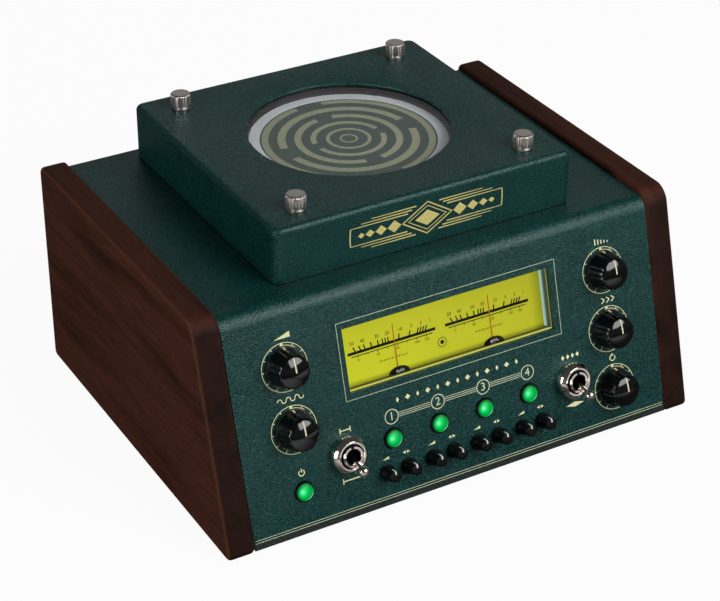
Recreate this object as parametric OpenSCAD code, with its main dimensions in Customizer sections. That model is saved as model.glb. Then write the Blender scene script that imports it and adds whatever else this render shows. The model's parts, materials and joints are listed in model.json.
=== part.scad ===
// Drum delay unit: a folded metal case with a leaning control panel between two wooden cheeks.
// A twin level meter, knobs, lit buttons and toggle switches sit on the panel.
// A lift-off lid with a round window covers a belt-driven magnetic drum.
// X runs to the right, Y to the back and Z up, in millimetres.
// The origin is on the floor, in the middle of the outer box.

/* [Case] */
// Width of the metal case between the wooden cheeks
case_w = 260; // [244:1:300]
// Height of the metal top above the lower edge of the panel
case_h = 120.2; // [118:0.2:135]
// Depth from the lower edge of the panel to the back
case_d = 223.2; // [220:0.2:260]
// Lean of the control panel from upright, in degrees
panel_tilt = 15.9; // [8:0.1:20]
// Sheet metal thickness
sheet_t = 1.6; // [1:0.1:2.4]
// Outside radius of the bend between the panel and the top
bend_r = 9; // [5:0.5:13]
// How far the back panel sits in from the rear edge
rear_inset = 8; // [7:0.5:14]

/* [Cheeks] */
// Thickness of each wooden cheek
cheek_t = 15.7; // [10:0.1:22]
// How far the cheeks stand proud of the metal at the top and back
cheek_lip = 3.2; // [1:0.1:6]
// How far the cheeks stand proud of the control panel
cheek_proud = 0.8; // [0.5:0.1:6]
// How far the cheeks reach below the metal
cheek_drop = 1.5; // [1:0.25:5]
// Radius of the front top corner of a cheek
cheek_corner_r = 11; // [6:0.5:16]
// Rounding of the cheek's edges
cheek_edge_r = 2.5; // [1:0.25:4]

/* [Feet] */
// Diameter of a rubber foot
foot_d = 18; // [12:1:26]
// How far the feet reach below the cheeks
foot_show = 1; // [0.5:0.25:4]
// Distance from the case's corners to the middle of a foot
foot_inset = 24; // [18:1:40]

/* [Lid] */
// Width of the drum lid
lid_w = 177.8; // [172:0.2:200]
// Depth of the drum lid
lid_d = 166; // [164:0.5:175]
// Height of the drum lid above the case
lid_h = 32.2; // [30:0.2:45]
// Middle of the lid and of the drum, back from the lower edge of the panel
lid_y = 132.4; // [128:0.1:134]
// Wall thickness of the lid
lid_t = 1.6; // [1.2:0.1:2.4]
// Radius of the lid's upright corners
lid_corner_r = 2.5; // [2:0.5:8]
// Radius of the lid's top edges
lid_edge_r = 1.5; // [1:0.25:3]
// Radius of the round window
window_r = 56.3; // [56.3:0.1:60]
// Thickness of the clear window
window_t = 2.5; // [2:0.1:3]
// How far the clear window reaches under the lid, past the opening
window_lap = 5; // [3:0.5:6]
// Height of the ring that holds the window
retainer_h = 4; // [3:0.25:6]

/* [Thumbscrews] */
// Distance from the lid's left and right edges to a thumbscrew
thumb_inset_x = 19.6; // [17:0.05:22]
// Distance from the lid's front and back edges to a thumbscrew
thumb_inset_y = 15.8; // [14:0.05:18]
// Diameter of a thumbscrew head
thumb_d = 11.2; // [9:0.2:14]
// Height of a thumbscrew head
thumb_h = 8; // [6:0.5:11]
// Diameter of the thumbscrew's shank
thumb_shank_d = 4; // [3:0.5:5]
// Ribs round a thumbscrew head
thumb_ribs = 20; // [12:1:28]

/* [Drum] */
// Radius of the magnetic drum
drum_r = 55; // [52:0.1:55.5]
// Width of the metal rim, seen from above
drum_rim_w = 6; // [4:0.5:8]
// Height of the drum
drum_h = 12; // [9:0.5:13]
// Gap between the drum's top and the window
drum_top_gap = 3.7; // [1:0.1:4]
// Radius of the drum's belt pulley
drum_pulley_r = 28; // [22:0.5:32]
// Radius of the motor pulley
motor_pulley_r = 7; // [5:0.5:9]
// Distance from the drum's axis to the motor's axis
motor_reach = 44; // [42:0.5:47]
// Direction of the motor from the drum's axis, in degrees
motor_angle = 140; // [100:5:160]
// Radius of the motor can
motor_r = 16; // [12:0.5:18]
// Length of the motor can
motor_len = 38; // [28:1:50]
// Belt width
belt_w = 3.2; // [2:0.1:3.4]
// Belt thickness
belt_t = 1.2; // [0.8:0.1:1.8]
// Radius of the drum's spindle
spindle_r = 4; // [3:0.25:5]
// Thickness of the deck plate that carries the drum
deck_t = 3; // [2:0.25:4]

/* [Meter] */
// Width of the meter's opening in the panel
meter_w = 127.4; // [120:0.2:132]
// Height of the meter's opening in the panel
meter_h = 35; // [30:0.5:37]
// Middle of the meter's opening, up the panel
meter_u = 84.8; // [83:0.1:86]
// Depth of the dial behind the face of the panel
dial_depth = 11; // [9:0.25:14]
// Distance between the two needle pivots
needle_span = 59.2; // [54:0.2:64]
// Length of a needle from pivot to tip
needle_len = 28; // [24:0.5:31]
// Depth of the meter housing behind the dial
meter_back = 12; // [9:0.5:16]

/* [Knobs] */
// From an end of the panel to the large knobs
knob_inset = 31.7; // [28:0.1:36]
// Top row of large knobs, up the panel
knob_top_u = 91.7; // [90:0.1:95]
// Distance between rows of large knobs
knob_pitch = 34; // [30:0.5:34.5]
// Skirt radius of a large knob
knob_skirt_r = 11.2; // [10:0.1:12]
// Top radius of a large knob
knob_top_r = 8.8; // [7.5:0.1:9.5]
// Height of a large knob above the panel
knob_h = 13.7; // [12:0.1:17]
// Flutes round a large knob
knob_flutes = 14; // [10:1:20]
// Radius of a potentiometer shaft
shaft_r = 3; // [2.5:0.25:3.25]
// Radius of a potentiometer can
pot_r = 8; // [7:0.25:9]

/* [Small knobs] */
// Small knob row, up the panel
small_u = 18.6; // [17:0.1:20]
// Distance between the two small knobs under a button
small_gap = 13; // [11:0.1:14]
// Skirt radius of a small knob
small_skirt_r = 4.4; // [4:0.1:4.8]
// Tip radius of a small knob
small_tip_r = 3.2; // [2.8:0.1:3.6]
// Height of a small knob above the panel
small_h = 10.2; // [8:0.1:13]
// Radius of a small potentiometer's shaft
small_shaft_r = 1.75; // [1.5:0.05:2]

/* [Buttons] */
// Distance between neighbouring lit buttons
button_pitch = 28.4; // [27:0.1:30]
// Row of lit buttons, up the panel
button_u = 36.1; // [35:0.1:38]
// From the left end of the panel to the bypass button
bypass_inset = 32.1; // [28:0.1:36]
// Bypass button, up the panel
bypass_u = 23.3; // [20:0.1:26]
// Radius of a button's lens
lens_r = 4.6; // [4:0.1:4.8]
// Radius of a button's bezel
bezel_r = 5.8; // [5.6:0.1:6.4]
// Height of the lens dome above its straight side
lens_dome = 1.3; // [0.8:0.1:2]
// Travel of a button
button_travel = 1.5; // [1:0.1:2]

/* [Toggles] */
// From an end of the panel to the toggle switches
toggle_inset = 59.3; // [56:0.1:62]
// Toggle switches, up the panel
toggle_u = 36; // [34:0.1:38]
// Outside radius of the toggle's threaded bush
toggle_bush_r = 5.9; // [5.5:0.1:6.2]
// Height of the toggle's bush above the panel
toggle_bush_h = 7.6; // [6.5:0.1:9]
// Base radius of the toggle's dress nut
toggle_nut_r = 9.2; // [8.6:0.1:10]
// Height of the toggle's dress nut
toggle_nut_h = 6; // [4:0.25:6.4]
// Lean of a toggle lever to each side, in degrees
toggle_lean = 20; // [12:1:22]
// Length of a toggle lever from its pivot to the middle of its tip
toggle_len = 15.5; // [13:0.25:18]
// Radius of a toggle lever's tip
toggle_tip_r = 2.8; // [2.2:0.1:3.2]

/* [Rear sockets] */
// Radius of a jack socket's hole
jack_r = 3.25; // [3.2:0.05:3.4]
// Distance between the two jacks of a pair
jack_pitch = 26; // [20:1:32]
// Sideways place of the middle of a pair of jacks
jack_x = 72; // [60:1:84]
// Height of the rear sockets above the case's floor
socket_z = 58; // [50:1:70]
// Radius of the power inlet's hole
inlet_r = 2.9; // [2.75:0.05:3.2]

/* [Hidden] */
$fn = 96;

// Clearances
run_gap = 0.05;
slip_gap = 0.15;
free_gap = 0.4;
cut = 1;

// Panel geometry
panel_s = sin(panel_tilt);
panel_c = cos(panel_tilt);
corner_y = case_h * panel_s / panel_c;
bend_run = bend_r * tan((90 - panel_tilt) / 2);
bend_y = corner_y + bend_run;
bend_z = case_h - bend_r;

// Place of the case on the floor
cheek_corner_step = 0.5;
floor_gap = cheek_drop + foot_show;
case_z = floor_gap;
toggle_pivot_h = 2;
toggle_tip_y = (toggle_u - toggle_len * sin(toggle_lean)) * panel_s
    - (toggle_pivot_h + toggle_len * cos(toggle_lean)) * panel_c - toggle_tip_r;
knob_low_u = knob_top_u - 2 * knob_pitch;
knob_front_y = (knob_low_u - knob_top_r) * panel_s - knob_h * panel_c;
cheek_front_y = -(cheek_proud + cheek_drop * panel_s) / panel_c;
front_y = min(toggle_tip_y, knob_front_y, cheek_front_y);
back_y = case_d + cheek_lip;
mid_y = (front_y + back_y) / 2;

// Lid and window levels above the case's floor
lid_top_z = case_h + lid_h;
lid_under_z = lid_top_z - lid_t;
window_z = lid_under_z - window_t;
retainer_wall = 2.8;
retainer_step = 0.7;
retainer_in_r = window_r + retainer_step;
window_disc_r = window_r + window_lap;
retainer_out_r = window_disc_r + slip_gap + retainer_wall;
retainer_z = window_z - retainer_h;
thumb_span_x = lid_w - 2 * thumb_inset_x;
thumb_span_y = lid_d - 2 * thumb_inset_y;
thumb_neck_h = 1;
thumb_neck_lip = 1.2;
thumb_neck_r = thumb_shank_d / 2 + thumb_neck_lip;
thumb_grip = 12;
thumb_edge = 0.8;
thumb_rib_r = 0.42;

// Drum levels above the case's floor
deck_z = case_h;
deck_top_z = deck_z + deck_t;
drum_top_z = window_z - drum_top_gap;
drum_z = drum_top_z - drum_h;
bearing_flange_h = 2.4;
bearing_wall = 4;
bearing_lip = 4;
bearing_barrel_r = spindle_r + bearing_wall;
bearing_flange_r = bearing_barrel_r + bearing_lip;
bearing_drop = 20;
bearing_floor = 3;
disc_top_t = 4;
disc_drop = 0.3;
drum_wall = 3;
pulley_flange_h = 0.9;
pulley_flange_lip = 2;
pulley_z = deck_top_z + bearing_flange_h + free_gap;
belt_space = drum_z - pulley_z - pulley_flange_h;
belt_z = drum_z - belt_space / 2 - belt_w / 2;
motor_x = motor_reach * cos(motor_angle);
motor_y = motor_reach * sin(motor_angle);
motor_shaft_r = 1.5;
motor_shaft_room = 1.5;
motor_shaft_z = deck_z - motor_len / 2;
spindle_z = deck_top_z - bearing_drop + bearing_floor;
post_wall = 3;
post_r = thumb_shank_d / 2 + post_wall;
post_stud_r = thumb_shank_d / 2;
post_stud_end = 3;
post_hole_end = 1;
post_stud_len = deck_t + sheet_t + post_stud_end;
deck_edge = 4;
deck_w = thumb_span_x + 2 * (post_r + deck_edge);
deck_d = thumb_span_y + 2 * (post_r + deck_edge);
well_gap = 4;
well_w = 2 * (abs(motor_x) + motor_r + well_gap);
well_d = 2 * (abs(motor_y) + motor_r + well_gap);

// Magnetic heads: one erases, one records and four play back
head_count = 6;
head_first = 190;
head_step = 32;
head_gap = 0.5;
head_long = 9;
head_wide = 11;
head_foot_t = 2;
head_foot_long = 16;
head_stem_t = 2;
head_chamfer = 3;
head_step_z = 1;
head_top_z = min(drum_top_z, retainer_z - free_gap) - head_step_z;

// Meter, with depths behind the panel's face
meter_wall = 2;
meter_edge = 3;
meter_glass_t = 2;
meter_shelf_t = 1;
meter_low = 9;
meter_ease = 0.3;
meter_sill_u = meter_u - meter_h / 2 - meter_ease;
needle_drop = 1;
needle_u = meter_sill_u - needle_drop;
needle_t = 0.4;
needle_w = 0.7;
needle_hub_r = 1.6;
needle_pin_r = 0.8;
needle_pin_len = 5;
needle_front = 1.2;
needle_h = -dial_depth + needle_front;
needle_clear_h = needle_h + needle_front;
dial_t = 1;
meter_glass_h = -sheet_t - meter_glass_t;
meter_back_h = -dial_depth - dial_t - meter_back;
meter_cav_low = meter_sill_u - meter_low;
meter_cav_high = meter_u + meter_h / 2 + meter_ease;
meter_cav_w = meter_w + 2 * meter_ease;
movement_w = 18;
cover_r = 5.6;
cover_t = 2;
cover_taper = 1;

// Controls
knob_x = case_w / 2 - knob_inset;
bypass_x = bypass_inset - case_w / 2;
toggle_x = case_w / 2 - toggle_inset;
button_cols = [for (i = [-1.5:1:1.5]) i * button_pitch];
button_spots = concat([[bypass_x, bypass_u]], [for (x = button_cols) [x, button_u]]);
small_spots = [for (x = button_cols, s = [-1, 1]) [x + s * small_gap / 2, small_u]];
knob_spots = [
    [-knob_x, knob_top_u],
    [-knob_x, knob_top_u - knob_pitch],
    [knob_x, knob_top_u],
    [knob_x, knob_top_u - knob_pitch],
    [knob_x, knob_top_u - 2 * knob_pitch]
];
toggle_spots = [[-toggle_x, toggle_u], [toggle_x, toggle_u]];
board_t = 1.6;
board_h = -10;
bush_wall = 0.9;
bush_r = shaft_r + bush_wall;
bush_h = 5;
pot_len = 9;
pot_nut_wall = 2;
pot_nut_r = bush_r + pot_nut_wall;
pot_nut_h = 2;
knob_lift = 0.6;
knob_skirt_h = 1.6;
knob_shoulder = 1.2;
knob_step = 1.2;
knob_edge = 0.5;
knob_crown = 2;
knob_recess_room = 1;
knob_recess_r = pot_nut_r + knob_recess_room;
knob_recess_h = bush_h + free_gap - knob_lift;
knob_flute_r = 1.1;
knob_flute_out = 0.4;
knob_flute_z = 0.3;
small_lift = 0.5;
small_skirt_h = 2.6;
small_skirt_taper = 0.2;
small_shoulder = 1;
small_edge = 0.4;
small_pot_w = 9.6;
small_pot_len = 11;
small_pot_floor = 2;
small_shaft_play = 0.5;
lens_gap = 0.07;
bezel_h = 1.2;
bezel_taper = 0.4;
barrel_wall = 0.5;
barrel_r = lens_r + lens_gap + barrel_wall;
lens_low = -3.5;
lens_high = 1.5;
switch_play = 1;
barrel_len = button_travel + switch_play - lens_low;
switch_w = 9;
toggle_body_w = 13;
toggle_body_l = 26;
toggle_body_h = 20;
lever_neck_r = 1.5;
lever_flare = 0.1;
lever_ball_r = 2.9;
lever_pocket = 2;
toggle_mouth_r = (toggle_bush_h - toggle_pivot_h) * tan(toggle_lean)
    + (lever_neck_r + free_gap) / cos(toggle_lean);
toggle_nut_lip = 1.2;

// Rear sockets
rear_y = case_d - rear_inset;
jack_spots = [for (side = [-1, 1], s = [-1, 1]) side * jack_x + s * jack_pitch / 2];
jack_bush_wall = 1.45;
jack_bush_r = jack_r + jack_bush_wall;
jack_nut_wall = 2.6;
jack_nut_r = jack_bush_r + jack_nut_wall;
jack_nut_h = 2.2;
jack_nose = 3.4;
jack_body_w = 15;
jack_body_len = 22;
jack_floor = 2;
inlet_w = 14;
inlet_lip = 2;
inlet_lip_t = 1.5;
inlet_floor = 3;
inlet_pin_r = 1.05;
inlet_depth = 10;

// Boards and screws
main_board_z = 12;
main_board_side = 25;
main_board_w = case_w - 2 * main_board_side;
main_board_y = 72;
main_board_back = 33;
main_board_d = case_d - main_board_back - main_board_y;
standoff_r = 3.5;
standoff_inset = 8;
capacitor_d = 12;
capacitor_h = 22;
chip_size = [8, 20, 4];
header_size = [24, 7, 9];
part_pitch = 16;
screw_r = 1.75;
screw_head_r = 3.4;
screw_head_h = 2.2;
screw_head_taper = 0.8;
screw_bite = 9;
screw_low_z = 18;
screw_top_inset = 27;
screw_high_z = case_h - screw_top_inset;
screw_front_y = 40;
screw_back_inset = 30;
screw_back_y = case_d - screw_back_inset;
cheek_screw_spots = [
    [screw_front_y, screw_low_z],
    [case_d / 2, screw_low_z],
    [screw_back_y, screw_low_z],
    [screw_front_y + screw_high_z * panel_s / panel_c, screw_high_z],
    [screw_back_y, screw_high_z]
];
foot_chamfer = 0.6;

green = [0.06, 0.16, 0.14];
walnut = [0.2, 0.09, 0.06];
black = [0.04, 0.04, 0.045];
steel = [0.72, 0.72, 0.7];
gold = [0.72, 0.6, 0.3];

// Places
module in_case(p = [0, 0, 0]) {
    translate([p[0], p[1] - mid_y, p[2] + case_z]) children();
}

module on_panel(spot = [0, 0], h = 0) {
    in_case() rotate([90 - panel_tilt, 0, 0]) translate([spot[0], spot[1], h]) children();
}

module at_drum(z = 0) {
    in_case([0, lid_y, z]) children();
}

module at_motor(z = 0) {
    at_drum(z) translate([motor_x, motor_y, 0]) children();
}

module at_thumbs() {
    for (sx = [-1, 1], sy = [-1, 1]) translate([sx * thumb_span_x / 2, sy * thumb_span_y / 2, 0])
        children();
}

module across(w) {
    rotate([90, 0, 90]) linear_extrude(w, center = true) children();
}

module ring(r_out, r_in, h) {
    difference() {
        cylinder(r = r_out, h = h);
        translate([0, 0, -cut]) cylinder(r = r_in, h = h + 2 * cut);
    }
}

module block(w, d, h) {
    translate([-w / 2, -d / 2, 0]) cube([w, d, h]);
}

module rounded_plate(w, d, h, r) {
    linear_extrude(h) rounded_outline(w, d, r);
}

module rounded_outline(w, d, r) {
    square([w - 2 * r, d], center = true);
    square([w, d - 2 * r], center = true);
    for (sx = [-1, 1], sy = [-1, 1]) translate([sx * (w / 2 - r), sy * (d / 2 - r)]) circle(r);
}

// Leaning front and round bend of the case's side view, set in by a distance from its outer faces
function case_front(inset) = concat(
    [[inset / panel_c, 0]],
    arc_points([bend_y, bend_z], bend_r - inset, 180 - panel_tilt, 90)
);

function arc_points(c, r, from, to, steps = 36) = [
    for (i = [0:steps]) let(a = from + (to - from) * i / steps) c + r * [cos(a), sin(a)]
];

function reversed(points) = [for (i = [len(points) - 1:-1:0]) points[i]];

// Case
module case_wrap() color(green) difference() {
    bent_sheet();
    on_panel([0, meter_u], -sheet_t - cut) block(meter_w, meter_h, sheet_t + 2 * cut);
    for (p = knob_spots) panel_hole(p, bush_r + slip_gap);
    for (p = small_spots) panel_hole(p, small_shaft_r + free_gap);
    for (p = button_spots) panel_hole(p, barrel_r + slip_gap);
    for (p = toggle_spots) panel_hole(p, toggle_bush_r + slip_gap);
    at_drum(case_h - sheet_t - cut) {
        block(well_w, well_d, sheet_t + 2 * cut);
        at_thumbs() cylinder(r = post_stud_r + slip_gap, h = sheet_t + 2 * cut);
    }
}

// One sheet folded into the panel, the round bend and the top, cut level at its lower edge
module bent_sheet() {
    rear_edge = [[case_d, case_h], [case_d, case_h - sheet_t]];
    in_case() across(case_w) polygon(concat(case_front(0), rear_edge, reversed(case_front(sheet_t))));
}

module panel_hole(spot, r) {
    on_panel(spot, -sheet_t - cut) cylinder(r = r, h = sheet_t + 2 * cut);
}

module base_tray() color(green) {
    difference() {
        in_case() intersection() {
            across(case_w) polygon(concat(
                case_front(sheet_t + slip_gap),
                [[case_d, case_h - sheet_t - slip_gap], [case_d, 0]]
            ));
            union() {
                translate([-case_w / 2, 0, 0]) cube([case_w, case_d, sheet_t]);
                for (s = [-1, 1]) translate([s * (case_w - sheet_t) / 2, case_d / 2, 0])
                    block(sheet_t, case_d, case_h);
            }
        }
        at_cheek_screws() cylinder(r = screw_r + slip_gap, h = 2 * sheet_t + cut, center = true);
    }
    at_standoffs() cylinder(r = standoff_r, h = main_board_z - sheet_t);
}

module at_standoffs() {
    for (sx = [-1, 1], sy = [0, 1]) in_case([
        sx * (main_board_w / 2 - standoff_inset),
        main_board_y + standoff_inset + sy * (main_board_d - 2 * standoff_inset),
        sheet_t
    ]) children();
}

// Screw axes at the case's two ends, with local Z pointing outwards into the wood
module at_cheek_screws(sides = [-1, 1]) {
    for (s = sides, p = cheek_screw_spots) in_case([s * (case_w - sheet_t) / 2, p[0], p[1]])
        rotate([0, s * 90, 0]) children();
}

module rear_panel() color(green) difference() {
    in_case([0, rear_y - sheet_t / 2, sheet_t + slip_gap]) block(
        case_w - 2 * sheet_t - 2 * slip_gap,
        sheet_t,
        case_h - 2 * sheet_t - 2 * slip_gap
    );
    for (x = jack_spots) at_rear(x) cylinder(r = jack_bush_r + slip_gap, h = 4 * sheet_t, center = true);
    inlet_hole = inlet_w + 2 * slip_gap;
    at_rear(0) cube([inlet_hole, inlet_hole, 4 * sheet_t], center = true);
}

// A place on the outer face of the back panel, with local Z pointing out of the back
module at_rear(x) {
    in_case([x, rear_y, socket_z]) rotate([-90, 0, 0]) children();
}

module cheek(side) color(walnut) difference() {
    in_case([side * (case_w + cheek_t) / 2, 0, 0]) rotate([0, 90, 0]) hull() cheek_corners();
    at_cheek_screws([side]) cylinder(r = screw_r + slip_gap, h = screw_bite + sheet_t);
}

// The four round corners of a cheek, seen along X: local X points down and local Y to the back
module cheek_corners() {
    small_r = cheek_edge_r + cheek_corner_step;
    low_z = -cheek_drop + small_r;
    top = case_h + cheek_lip;
    cheek_corner(cheek_front(low_z, small_r), low_z, small_r);
    cheek_corner(cheek_front(top - cheek_corner_r, cheek_corner_r), top - cheek_corner_r, cheek_corner_r);
    cheek_corner(back_y - small_r, top - small_r, small_r);
    cheek_corner(back_y - small_r, low_z, small_r);
}

// Middle of a round corner that touches the cheek's leaning front edge
function cheek_front(z, r) = (r - cheek_proud + z * panel_s) / panel_c;

module cheek_corner(y, z, r) {
    for (a = [0, 30, 60, 90]) translate([-z, y, 0])
        cylinder(r = r - cheek_edge_r * (1 - cos(a)), h = cheek_t - 2 * cheek_edge_r * (1 - sin(a)),
            center = true, $fn = 32);
}

module left_cheek() cheek(-1);
module right_cheek() cheek(1);

module cheek_screws() color(steel) at_cheek_screws() {
    translate([0, 0, -sheet_t / 2 - screw_head_h]) cylinder(r1 = screw_head_r - screw_head_taper,
        r2 = screw_head_r, h = screw_head_h);
    translate([0, 0, -sheet_t / 2]) cylinder(r = screw_r, h = screw_bite + sheet_t / 2);
}

module rubber_feet() color(black) for (sx = [-1, 1], y = [foot_inset, case_d - foot_inset])
    in_case([sx * (case_w / 2 - foot_inset), y, -floor_gap]) {
        cylinder(d1 = foot_d - 2 * foot_chamfer, d2 = foot_d, h = foot_chamfer);
        translate([0, 0, foot_chamfer]) cylinder(d = foot_d, h = floor_gap - foot_chamfer);
    }

// Meter
module meter_housing() color(black) {
    difference() {
        meter_box(meter_cav_w + 2 * meter_wall, meter_cav_low - meter_wall, meter_cav_high + meter_wall,
            meter_back_h - meter_wall, meter_glass_h);
        meter_box(meter_cav_w, meter_cav_low, meter_cav_high, meter_back_h, meter_glass_h + cut);
    }
    meter_shelf();
}

// The ledge under the opening, short of the needles
module meter_shelf() {
    meter_box(meter_cav_w + meter_wall, meter_sill_u - meter_shelf_t, meter_sill_u, needle_clear_h,
        meter_glass_h);
}

// A box in the panel's frame: its width, its reach up the panel and its depths
module meter_box(w, low, high, back, front, x = 0) {
    on_panel([x, (low + high) / 2], back) block(w, high - low, front - back);
}

module meter_dial() color([0.85, 0.8, 0.15]) difference() {
    meter_box(meter_cav_w - 2 * slip_gap, meter_cav_low + slip_gap, meter_cav_high - slip_gap,
        -dial_depth - dial_t, -dial_depth);
    for (s = [-1, 1]) at_needle(s, -dial_depth - dial_t - cut)
        cylinder(r = needle_pin_r + free_gap, h = dial_t + 2 * cut);
}

module at_needle(s, h) {
    on_panel([s * needle_span / 2, needle_u], h) children();
}

module meter_window() color([0.8, 0.9, 0.9, 0.3])
    meter_box(meter_cav_w + 2 * meter_wall, meter_sill_u - meter_edge, meter_cav_high + meter_wall,
        meter_glass_h, -sheet_t);

module meter_pivot_covers() color(black) for (s = [-1, 1]) intersection() {
    at_needle(s, needle_clear_h) translate([0, -needle_drop, 0])
        cylinder(r1 = cover_r, r2 = cover_r - cover_taper, h = cover_t);
    meter_box(meter_w, meter_sill_u, meter_u, needle_clear_h, -sheet_t);
}

module meter_movements() color(steel) for (s = [-1, 1]) difference() {
    meter_box(movement_w, meter_cav_low + slip_gap, needle_u + movement_w / 2,
        meter_back_h, -dial_depth - dial_t, s * needle_span / 2);
    at_needle(s, -dial_depth - dial_t - needle_pin_len - cut) cylinder(r = needle_pin_r + run_gap,
        h = needle_pin_len + 2 * cut);
}

// Needle: a flat blade on a hub, whose pin turns in the movement
module needle(s) color([0.8, 0.3, 0.1]) {
    at_needle(s, needle_h - needle_t) cylinder(r = needle_hub_r, h = 2 * needle_t);
    at_needle(s, -dial_depth - dial_t - needle_pin_len) cylinder(r = needle_pin_r,
        h = needle_h + dial_depth + dial_t + needle_pin_len);
    at_needle(s, needle_h - needle_t / 2) linear_extrude(needle_t) polygon([
        [-needle_w / 2, 0],
        [needle_w / 2, 0],
        [needle_w / 4, needle_len],
        [-needle_w / 4, needle_len]
    ]);
}

module left_needle() needle(-1);
module right_needle() needle(1);

// Toggle switches
module toggle_switches() color(steel) for (p = toggle_spots) on_panel(p) difference() {
    union() {
        translate([0, 0, -sheet_t - toggle_body_h]) block(toggle_body_w, toggle_body_l, toggle_body_h);
        translate([0, 0, -sheet_t]) cylinder(r = toggle_bush_r, h = sheet_t + toggle_bush_h);
    }
    translate([0, 0, toggle_pivot_h - lever_ball_r - lever_pocket]) cylinder(r = lever_ball_r + free_gap,
        h = lever_ball_r + lever_pocket);
    translate([0, 0, toggle_pivot_h]) cylinder(r1 = lever_ball_r + free_gap,
        r2 = max(toggle_mouth_r, lever_ball_r + free_gap), h = toggle_bush_h - toggle_pivot_h);
}

module toggle_nuts() color(steel) for (p = toggle_spots) on_panel(p) difference() {
    cylinder(r1 = toggle_nut_r, r2 = toggle_nut_r - toggle_nut_lip, h = toggle_nut_h);
    translate([0, 0, -cut]) cylinder(r = toggle_bush_r + slip_gap, h = toggle_nut_h + 2 * cut);
}

// Toggle lever, leaning down the panel at rest
module toggle_lever(spot) color(steel) on_panel(spot, toggle_pivot_h) rotate([toggle_lean, 0, 0]) {
    sphere(r = lever_ball_r);
    cylinder(r1 = lever_neck_r, r2 = lever_neck_r + lever_flare, h = toggle_len / 2);
    translate([0, 0, toggle_len / 2]) cylinder(r1 = lever_neck_r + lever_flare, r2 = toggle_tip_r,
        h = toggle_len / 2);
    translate([0, 0, toggle_len]) sphere(r = toggle_tip_r);
}

module time_toggle_lever() toggle_lever(toggle_spots[0]);
module mode_toggle_lever() toggle_lever(toggle_spots[1]);

// Lit push buttons
module button_bezels() color(black) for (p = button_spots) on_panel(p) difference() {
    union() {
        cylinder(r1 = bezel_r, r2 = bezel_r - bezel_taper, h = bezel_h);
        translate([0, 0, -barrel_len]) cylinder(r = barrel_r, h = barrel_len);
    }
    translate([0, 0, -barrel_len - cut]) cylinder(r = lens_r + lens_gap,
        h = barrel_len + bezel_h + 2 * cut);
}

module button_switches() color(black) for (p = button_spots) on_panel(p, board_h) {
    block(switch_w, switch_w, -barrel_len - board_h);
}

// Domed button lens with a straight side that slides in its bezel
module button(i) color([0.1, 0.85, 0.3]) on_panel(button_spots[i], lens_low) {
    dome_r = (lens_r * lens_r + lens_dome * lens_dome) / (2 * lens_dome);
    side_h = lens_high - lens_low;
    cylinder(r = lens_r, h = side_h);
    intersection() {
        translate([0, 0, side_h + lens_dome - dome_r]) sphere(r = dome_r);
        cylinder(r = lens_r, h = side_h + 2 * lens_dome);
    }
}

module bypass_button() button(0);
module head_button_1() button(1);
module head_button_2() button(2);
module head_button_3() button(3);
module head_button_4() button(4);

// Large knobs and their potentiometers
module pot_bodies() color(steel) for (p = knob_spots) on_panel(p) {
    difference() {
        union() {
            translate([0, 0, -sheet_t - pot_len]) cylinder(r = pot_r, h = pot_len);
            translate([0, 0, -sheet_t]) cylinder(r = bush_r, h = sheet_t + bush_h);
        }
        translate([0, 0, -sheet_t - pot_len / 2 - cut]) cylinder(r = shaft_r + run_gap,
            h = pot_len / 2 + sheet_t + bush_h + 2 * cut);
    }
    difference() {
        cylinder(r = pot_nut_r, h = pot_nut_h, $fn = 6);
        translate([0, 0, -cut]) cylinder(r = bush_r + slip_gap, h = pot_nut_h + 2 * cut);
    }
}

// Knob with a skirt, a fluted body and the shaft that it turns
module knob(i) color(black) on_panel(knob_spots[i]) {
    body_z = knob_lift + knob_skirt_h + knob_shoulder;
    body_r = knob_skirt_r - knob_step;
    edge_z = knob_h - knob_edge;
    difference() {
        union() {
            translate([0, 0, knob_lift]) cylinder(r = knob_skirt_r, h = knob_skirt_h);
            translate([0, 0, knob_lift + knob_skirt_h]) cylinder(r1 = knob_skirt_r, r2 = body_r,
                h = knob_shoulder);
            translate([0, 0, body_z]) cylinder(r1 = body_r, r2 = knob_top_r, h = edge_z - body_z);
            translate([0, 0, edge_z]) cylinder(r1 = knob_top_r, r2 = knob_top_r - knob_edge, h = knob_edge);
        }
        translate([0, 0, knob_lift - cut]) cylinder(r = knob_recess_r, h = knob_recess_h + cut);
        for (k = [0:knob_flutes - 1]) rotate([0, 0, (k + 0.5) * 360 / knob_flutes])
            translate([body_r + knob_flute_out, 0, body_z + knob_flute_z]) cylinder(r = knob_flute_r,
                h = knob_h, $fn = 24);
    }
    translate([0, 0, -sheet_t - pot_len / 2]) cylinder(r = shaft_r,
        h = pot_len / 2 + sheet_t + knob_h - knob_crown);
}

module gain_knob() knob(0);
module tone_knob() knob(1);
module echo_knob() knob(2);
module speed_knob() knob(3);
module repeat_knob() knob(4);

// Small knobs and their potentiometers
module small_pots() color(steel) for (p = small_spots) on_panel(p) difference() {
    translate([0, 0, board_h]) block(small_pot_w, small_pot_len, -sheet_t - board_h);
    translate([0, 0, board_h + small_pot_floor]) cylinder(r = small_shaft_r + run_gap, h = -board_h);
}

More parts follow.
